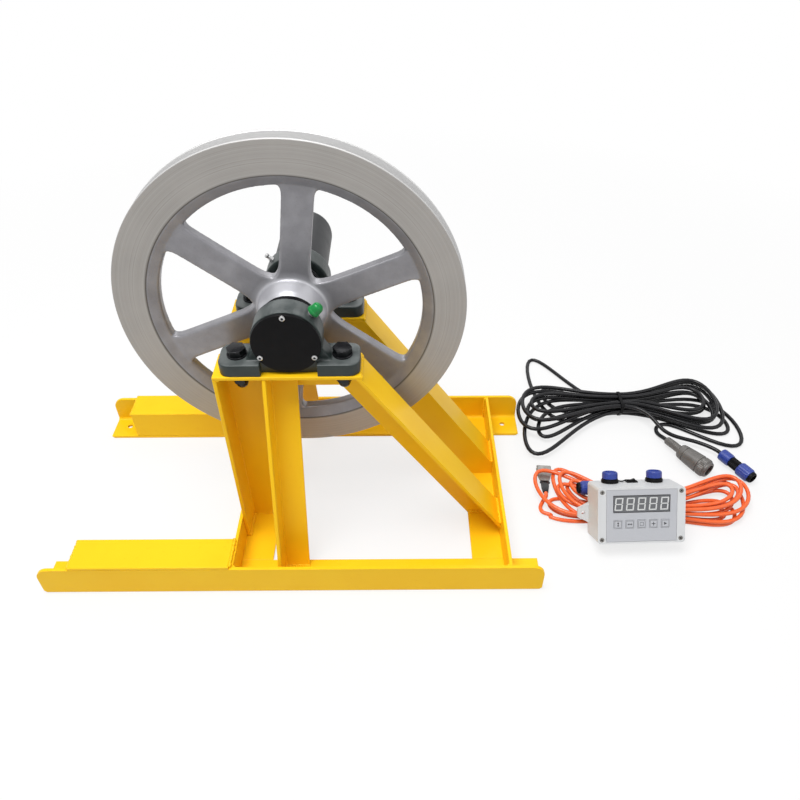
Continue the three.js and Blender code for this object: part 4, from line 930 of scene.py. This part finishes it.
WELDS = {
    "cover_left": ((43, 2, 42.5), (43, 38, 42.5)),
    "cover_cross": ((220.6, 4, 41.6), (220.6, 39, 41.6)),
    "cover_cross_back": ((220, 40.4, 5), (220, 40.4, 41)),
    "cross_left_base": ((224.6, 5.4, 8), (224.6, 5.4, 38)),
    "cross_right_base": ((529.4, 5.4, 8), (529.4, 5.4, 38)),
    "leg_foot": ((225, 113, 4.6), (262, 110.4, 4.6)),
    "leg_side": ((228.4, 77, 5), (228.4, 109, 5)),
    "leg_top": ((229, 77, 246.4), (229, 109, 246.4)),
    "strut_foot": ((497, 110.4, 5), (528, 110.4, 5)),
    "strut_side": ((529.4, 77, 24), (529.4, 113, 24)),
    "strut_top": ((371.6, 77, 247.6), (371.6, 113, 247.6)),
    "stay_foot": ((277.6, 31, 5), (303, 31, 5)),
    "stay_top": ((277.5, 106.2, 246.4), (303, 106.2, 246.4)),
}
WELD_RADIUS = 2.2
WELD_PITCH = 2.6
STEEL_EDGE = 0.9


def dress_stand():
    for side in ("front", "rear"):
        for part in ("base_angle", "box_cover", "frame_leg", "top_angle", "frame_strut", "frame_stay"):
            softened(f"{side}_{part}", STEEL_EDGE, 3)
    for side in ("left", "right"):
        softened(f"{side}_cross_angle", STEEL_EDGE, 3)


def weld_bead(name, start, end):
    """A rippled weld along a line of the stand: overlapping flattened drops under the paint."""
    line = Vector(end) - Vector(start)
    count = max(2, round(line.length / WELD_PITCH))
    drops = []
    for i in range(count + 1):
        drop = bmesh.new()
        radius = WELD_RADIUS * (0.92 + 0.1 * math.sin(i * 2.4))
        bmesh.ops.create_icosphere(drop, subdivisions=2, radius=radius)
        wander = Vector((math.sin(i * 1.7), math.cos(i * 2.3), math.sin(i * 3.1))) * 0.18
        bmesh.ops.translate(drop, vec=line * (i / count) + wander, verts=drop.verts)
        drops.append(drop)
    piece(together(*drops), name, "yellow_paint", place=stand_place(*start), angle=70, even=False)


def weld_stand():
    for label, ends in WELDS.items():
        weld_bead(f"front_weld_{label}", *ends)
        weld_bead(f"rear_weld_{label}", *((x, STAND_DEPTH - y, z) for x, y, z in ends))


# Wheel

def wheel_rim():
    r, w, groove = RIM_RADIUS, RIM_HALF, GROOVE_HALF
    half = [
        (143, 6), (144, w - 0.6), (145, w), (r - 1.3, w), (r - 0.4, w - 0.3), (r, w - 1.1), (r, groove + 0.5),
        (r - 0.4, groove), (161.6, 3.1), (160.2, 2.3), (159.3, 1.2), (GROOVE_RADIUS, 0.4),
    ]
    place = WHEEL_PLACE @ turn(-90, "X")
    bm = revolve(mirrored(half), 192)
    piece(bm, "grooved_rim", "cast_aluminium", "rotor", TURNED_RIM, place, "measuring_wheel", angle=30)


def spoke_half_width(radius):
    """Half the width of a spoke, which flares into the hub and into the rim."""
    flared = 15 + 6.5 * math.exp((33 - radius) / 6) + 5.5 * math.exp((radius - 133) / 3)
    return min(flared, 0.5 * radius + 12)


def wheel_spider():
    """Hub, six spokes and the ring that carries the rim, melted together as one casting."""
    radii = [SPOKE_START + (SPOKE_END - SPOKE_START) * i / SPOKE_STEPS for i in range(SPOKE_STEPS + 1)]
    outline = [(spoke_half_width(r), r) for r in radii]
    outline += [(-x, r) for x, r in reversed(outline)]
    parts = []
    for i in range(SPOKE_COUNT):
        spoke = broken_edges(plate(outline, -SPOKE_HALF, SPOKE_HALF), 3.2, 3, 60)
        parts.append(placed(spoke, turn(-SPOKE_TURN - 360 / SPOKE_COUNT * i, "Z")))
    hub = [(12.9, 33), (23.2, 33), (24, 32.2), (24.6, 30), (27.4, 28.4), (31.4, 20), (34, 11.5), (35.4, 5.6)]
    parts.append(revolve(mirrored([(133, 5), (144.4, 11.15), (147, 11.15)]), 144))
    parts.append(revolve(mirrored(hub)))
    cast = fused(placed(together(*parts), Matrix.Scale(MM, 4)), 0.00125, 3)
    placed(cast, WHEEL_PLACE @ turn(90, "X"))
    piece(
        cast, "cast_spider", "cast_aluminium", "rotor", CAST_WHEEL, stands_for="measuring_wheel", angle=180,
        even=False,
    )


def dress_shaft():
    profile = [
        (0, 84), (11.6, 84), (12.5, 84.9), (12.5, 209.1), (11.6, 210), (6, 210), (6, 227.4), (5.5, 228),
        (0, 228),
    ]
    shared = {"slot": "bearing_steel", "body": "rotor", "place": SHAFT_PLACE, "stands_for": "wheel_shaft"}
    piece(revolve(profile, 72), "turned_shaft", **shared)
    piece(broken_edges(cuboid((-4, -15.5, 120), (4, -11, 172)), 0.4, 1), "shaft_key", **shared)


# Bearings and encoder

def dress_housings():
    for side in ("front", "rear"):
        name = f"{side}_bearing_housing"
        cast = fused(welded_copy(name), 0.0009, 3)
        piece(cast, f"{side}_block_casting", "green_iron", stands_for=name, angle=180, even=False)


def hub_seals():
    """Black seals round both ends of the hub, each seated on its cone."""
    profile = [(22, 32.7), (28.8, 32.7), (29.6, 32), (29.8, 26.6), (29.2, 26), (22, 26)]
    for side, toward in (("front", -1), ("rear", 1)):
        ring = revolve([(radius, STAND_DEPTH / 2 + toward * rise) for radius, rise in profile])
        piece(ring, f"{side}_hub_seal", "black_plastic", "rotor", place=SHAFT_PLACE)


def screw_places(reach, *angles):
    """Numbered places round the shaft, at angles in degrees from the top."""
    for i, angle in enumerate(map(math.radians, angles)):
        yield i + 1, SHAFT_PLACE @ shift(reach * MM * math.sin(angle), -reach * MM * math.cos(angle), 0)


def end_cover():
    disc = revolve([
        (0, 79), (24, 79), (25.5, 79.25), (32.6, 79.25), (33.6, 79.6), (34, 80.4), (34, 83), (0, 83),
    ], 120)
    piece(disc, "bearing_end_cover", "black_plastic", place=SHAFT_PLACE, stands_for="front_end_cover")
    for i, place in screw_places(30.6, 0, 120, 240):
        screw = revolve([(1.4, 79.9), (1.4, 78), (2, 77.9), (2.7, 78.4), (3, 79.6), (3, 80)], 32)
        piece(screw, f"end_cover_screw_{i}", "zinc_steel", place=place)
        # painted shade: a black hexagon disc in each screw's hole stands for the shade in its socket
        socket = revolve([(0, 78.9), (1.4, 78.9), (1.4, 79.6), (0, 79.6)], 6)
        piece(socket, f"end_cover_screw_socket_{i}", "black_steel", place=place)


def bolt_and_nut(side, block_y, label, reach):
    """Hexagon bolt with a chamfered head and a dished washer, and the nut under the top angle."""
    hexagon = [(9.8 * math.cos(math.pi * i / 3), 9.8 * math.sin(math.pi * i / 3)) for i in range(6)]
    bolt = [
        broken_edges(plate(hexagon, 16.1, 22.7), 0.35, 2, 30),
        revolve([(0, 16), (8.4, 16), (8.6, 22.4), (7.6, 22.9), (0, 22.9)], 48),
        revolve([(5.4, 14), (10.2, 14), (10.2, 15.6), (9.8, 16), (5.4, 16)], 64),
        revolve([(0, 2), (5, 2), (5, -15.4), (4.3, -16.8), (0, -16.8)], 32),
    ]
    dome = revolve([
        (0, -16), (6.6, -16), (6.6, -20.4), (6.3, -22.4), (5.5, -24.4), (4.2, -25.8), (2.4, -26.7), (0, -27),
    ], 48)
    nut = [broken_edges(plate(hexagon, -17.7, -4.1), 0.6, 2, 30), dome]
    place = stand_place(AXIS_X + reach, block_y, TOP_LEVEL)
    for kind, parts in (("bolt", bolt), ("nut", nut)):
        name = f"{side}_{label}_{kind}"
        piece(together(*parts), f"{name}_dressed", "black_steel", place=place, stands_for=name)


def nipple(side, block_y, lean):
    """Grease nipple: a hexagon foot, a neck and a ball head."""
    foot = revolve([(0, 35.2), (3.4, 35.2), (3.4, 37.6), (0, 37.6)], 6)
    neck = revolve([
        (0, 37), (2.6, 37), (2.2, 38.4), (1.9, 40.6), (2.2, 41.4), (2.8, 42.4), (2.6, 43.4), (1.6, 44.2),
        (0, 44.3),
    ], 32)
    piece(
        together(foot, neck), f"{side}_nipple_dressed", "zinc_steel",
        place=stand_place(AXIS_X, block_y, AXIS_Z) @ turn(lean, "Y"), stands_for=f"{side}_grease_nipple",
    )


def nipple_cap():
    cap = revolve([
        (3.9, 38), (5.9, 38), (6.4, 38.5), (6.4, 40.8), (5.7, 41.4), (5.6, 45.4), (5.1, 47.2), (3.8, 48.5),
        (1.9, 49), (0, 49.1), (0, 44.8), (3.9, 44.8),
    ], 48)
    place = stand_place(AXIS_X, FRONT_BLOCK_Y, AXIS_Z) @ turn(45, "Y")
    piece(cap, "green_cap_dressed", "green_plastic", place=place, stands_for="grease_nipple_cap")


def encoder_cover():
    cup = revolve([
        (27, 209.3), (29.6, 209.3), (30, 209.8), (30, 213), (29.6, 213.4), (29.6, 299.4), (29, 302.6),
        (27, 304.6), (25, 305), (0, 305), (0, 302.2), (27, 302.2),
    ], 128)
    boss = revolve([
        (0, 28.5), (8, 28.5), (8, 33.4), (7.4, 34), (7.4, 40), (7, 40.5), (5.6, 40.5), (5.6, 35.5), (0, 35.5),
    ], 64)
    boss = together(boss, fluted(8, 0.5, 20, 34.4, 39.6))
    boss_place = stand_place(AXIS_X, 285, AXIS_Z) @ turn(180, "X")
    shared = {"slot": "green_iron", "material": COVER_PAINT, "stands_for": "encoder_cover"}
    piece(cup, "encoder_housing_dressed", place=SHAFT_PLACE, **shared)
    piece(boss, "encoder_socket", place=boss_place, **shared)
    pins = []
    for i in range(5):
        angle = math.tau * i / 5
        pin = revolve([(0, 35), (0.6, 35), (0.6, 39), (0, 39)], 12)
        pins.append(placed(pin, shift(3 * math.cos(angle), 3 * math.sin(angle), 0)))
    piece(together(*pins), "encoder_socket_pins", "zinc_steel", place=boss_place)
    for i, place in screw_places(21, 120, 0, 240):
        screw = revolve([(1.2, 304.6), (1.2, 305.4), (2, 305.5), (2.7, 305.1), (2.7, 304.6)], 32)
        piece(screw, f"encoder_housing_screw_{i}", "black_steel", place=place)


# Control box, in its own millimetres: x to the right, y to the back, z up along its height

def on_face(bm, x, z, proud, name, slot, material=None, body="recorder"):
    """Makes a piece of a flat shape, drawn in XY with its thickness along +Z, on the box's face."""
    placed(bm, shift(x, -BOX_DEPTH - proud, z) @ turn(90, "X"))
    piece(bm, name, slot, body, material, BOX_PLACE)


def dress_box():
    for name, width, segments in (
        ("control_box_base", 0.7, 2), ("control_box_lid", 0.7, 2), ("keypad_overlay", 0.12, 1),
        ("display_module", 0.3, 1),
    ):
        softened(name, width, segments)
    out, up = BOX_WIDTH / 2 - LID_SCREW_INSET, BOX_HEIGHT / 2 - LID_SCREW_INSET
    for i, (side, level) in enumerate(((-1, -1), (1, -1), (-1, 1), (1, 1))):
        x, z = side * out, BOX_HEIGHT / 2 + level * up
        ring = revolve([(3.35, -0.6), (4.5, -0.6), (4.5, 0.12), (4.3, 0.3), (3.6, 0.3), (3.35, 0.12)], 48)
        on_face(ring, x, z, 0, f"lid_screw_ring_{i + 1}", "white_plastic")
        head = revolve([(0, 0), (3, 0), (3.2, 0.25), (3.2, 1.1), (0, 1.1)], 32)
        on_face(head, x, z, -1.15, f"lid_screw_{i + 1}", "zinc_steel", CLIP_STEEL)
        # painted shade: flat black crosses on the screw heads stand for the shade in their cross recesses
        for turn_by in (20, 110):
            slot = placed(cuboid((-1.8, -0.36, 0), (1.8, 0.36, 0.12)), turn(turn_by + 33 * i, "Z"))
            on_face(slot, x, z, -0.08, f"lid_screw_cross_{i + 1}_{turn_by}", "black_plastic")


def seven_segments(w=4.6, h=7.5, thick=1.5, gap=0.16):
    """The seven mitred and slanted bars of one digit, whose half width is w and half height h."""
    inner, mid, tip = w - thick, thick / 2, w - thick / 2 - gap
    level = [(gap - w, h), (w - gap, h), (inner, h - thick + gap), (-inner, h - thick + gap)]
    upright = [(w, h - gap), (w, mid), (w - mid, gap), (inner, mid), (inner, h - thick)]
    middle = [(-tip, 0), (-inner, mid - gap), (inner, mid - gap), (tip, 0), (inner, gap - mid)]
    bars = []
    for up in (1, -1):
        bars.append([(x, up * y) for x, y in level])
        bars += [[(side * x, up * y) for x, y in upright] for side in (1, -1)]
    bars.append(middle + [(-inner, gap - mid)])
    slant = Matrix.Identity(4)
    slant[0][1] = 0.09
    return placed(together(*(plate(bar, 0, DIGIT_THICKNESS) for bar in bars)), slant)


def display_digits():
    for i in range(5):
        x = (i - 2) * DIGIT_PITCH
        on_face(seven_segments(), x, DISPLAY_Z, -0.08, f"display_digit_{i + 1}", "display_window", SEGMENT)
    border = bar_frame(33, 10, 0.8, DIGIT_THICKNESS)
    on_face(border, 0, DISPLAY_Z, -0.09, "display_border", "display_window", INK)


def arrow(length=5.6, head=1.8, line=0.4):
    """A two-headed arrow along X."""
    half, wing = length / 2, head * 0.8
    neck = half - head
    outline = [(-half, 0), (-neck, wing), (-neck, line), (neck, line), (neck, wing), (half, 0)]
    outline += [(-x, -y) for x, y in outline[1:-1]]
    return plate(outline, 0, MARK_THICKNESS)


def keys():
    """Five pressed keys, each in a fine square with a plain sign."""
    cross = [cuboid((-x, -y, 0), (x, y, MARK_THICKNESS)) for x, y in ((2.2, 0.4), (0.4, 2.2))]
    wedge = plate([(-1.8, -1.6), (1.8, -1.6), (0, 1.9)], 0, MARK_THICKNESS)
    signs = [
        placed(arrow(), turn(90, "Z")), arrow(), bar_frame(2.1, 2.1, 0.4, MARK_THICKNESS), together(*cross),
        placed(wedge, turn(-90, "Z")),
    ]
    for i, sign in enumerate(signs):
        body = f"key_{i + 1}"
        softened(body, 0.45)
        legend = together(bar_frame(4, 4, 0.32, MARK_THICKNESS), sign)
        on_face(legend, (i - 2) * KEY_PITCH, KEY_Z, 0.6, f"key_mark_{i + 1}", "grey_overlay", INK, body)


def sockets():
    """Panel sockets with a wide black foot, each under a screwed blue cap with a hollow top."""
    for side, x in (("left", -28), ("right", 25)):
        place = BOX_PLACE @ shift(x * MM, -12 * MM, 0)
        foot = revolve([
            (0, 52), (6.5, 52), (6.5, 66.3), (9.7, 66.3), (10.1, 66.7), (10.1, 69.3), (9.7, 69.9), (9.2, 70),
            (9.2, 70.9), (8.6, 71.1), (6.5, 71.1), (6.5, 74.6), (6.1, 75), (0, 75),
        ], 72)
        crown = revolve([
            (7, 71.3), (8.7, 71.3), (8.9, 71.7), (8.9, 77.6), (8.5, 78.5), (7.7, 79), (6.9, 78.9),
            (6.5, 78.4), (6.5, 77), (0, 77), (0, 76), (7, 76),
        ], 72)
        cap = together(broken_edges(fluted(9.25, 0.45, 12, 71.5, 77.6), 0.45, 2, 25), crown)
        for part, bm, slot in (("socket", foot, "black_plastic"), ("socket_cap", cap, "blue_plastic")):
            piece(bm, f"{side}_{part}_dressed", slot, place=place, stands_for=f"{side}_{part}")


TETHER = [
    (-21, -12.4, 68.4), (-18.2, -12.8, 68), (-15.4, -13.2, 67.5), (-12.8, -13.2, 67.6), (-10.6, -12.8, 68.4),
    (-8, -12.4, 69),
]
TETHER_RADIUS = 0.75


def cap_tether():
    """Thin strap from the left socket's foot that rises to the switch beside it."""
    route = [BOX_PLACE @ (p * MM) for p in curved(TETHER[0], TETHER, TETHER[-1], 8)]
    strap = tube(route, [TETHER_RADIUS] * len(route))
    piece(strap, "cap_tether", "black_plastic", angle=60, even=False)


# Everything together

set_camera()
set_light()
lay_floor()

grey = grey_plug()
blue = blue_connector("blue_connector", BLUE_START, BLUE_END, "blue_plug", 0.94)
orange = blue_connector("lead_connector", ORANGE_PLUG_START, ORANGE_PLUG_END, "orange_lead_plug", 0.88, True)
clip = battery_clip()
tie = cable_tie(BLACK_HANK)
add_cable("black_cable", BLACK_HANK)
add_cable("orange_lead", ORANGE_HANK)

dress_stand()
weld_stand()
wheel_rim()
wheel_spider()
dress_shaft()
for part in ("encoder_coupling", "encoder_body"):
    softened(part, 0.4)
for ring in ("outer_ring", "inner_ring"):
    for side in ("front", "rear"):
        softened(f"{side}_bearing_{ring}", 0.4)
dress_housings()
end_cover()
hub_seals()
for side, block_y, lean in (("front", FRONT_BLOCK_Y, 45), ("rear", REAR_BLOCK_Y, -45)):
    nipple(side, block_y, lean)
    bolt_and_nut(side, block_y, "left", -BOLT_REACH)
    bolt_and_nut(side, block_y, "right", BOLT_REACH)
nipple_cap()
encoder_cover()
dress_box()
display_digits()
keys()
sockets()
cap_tether()
softened("rocker_switch_body", 0.4)
softened("rocker_switch", 0.35)
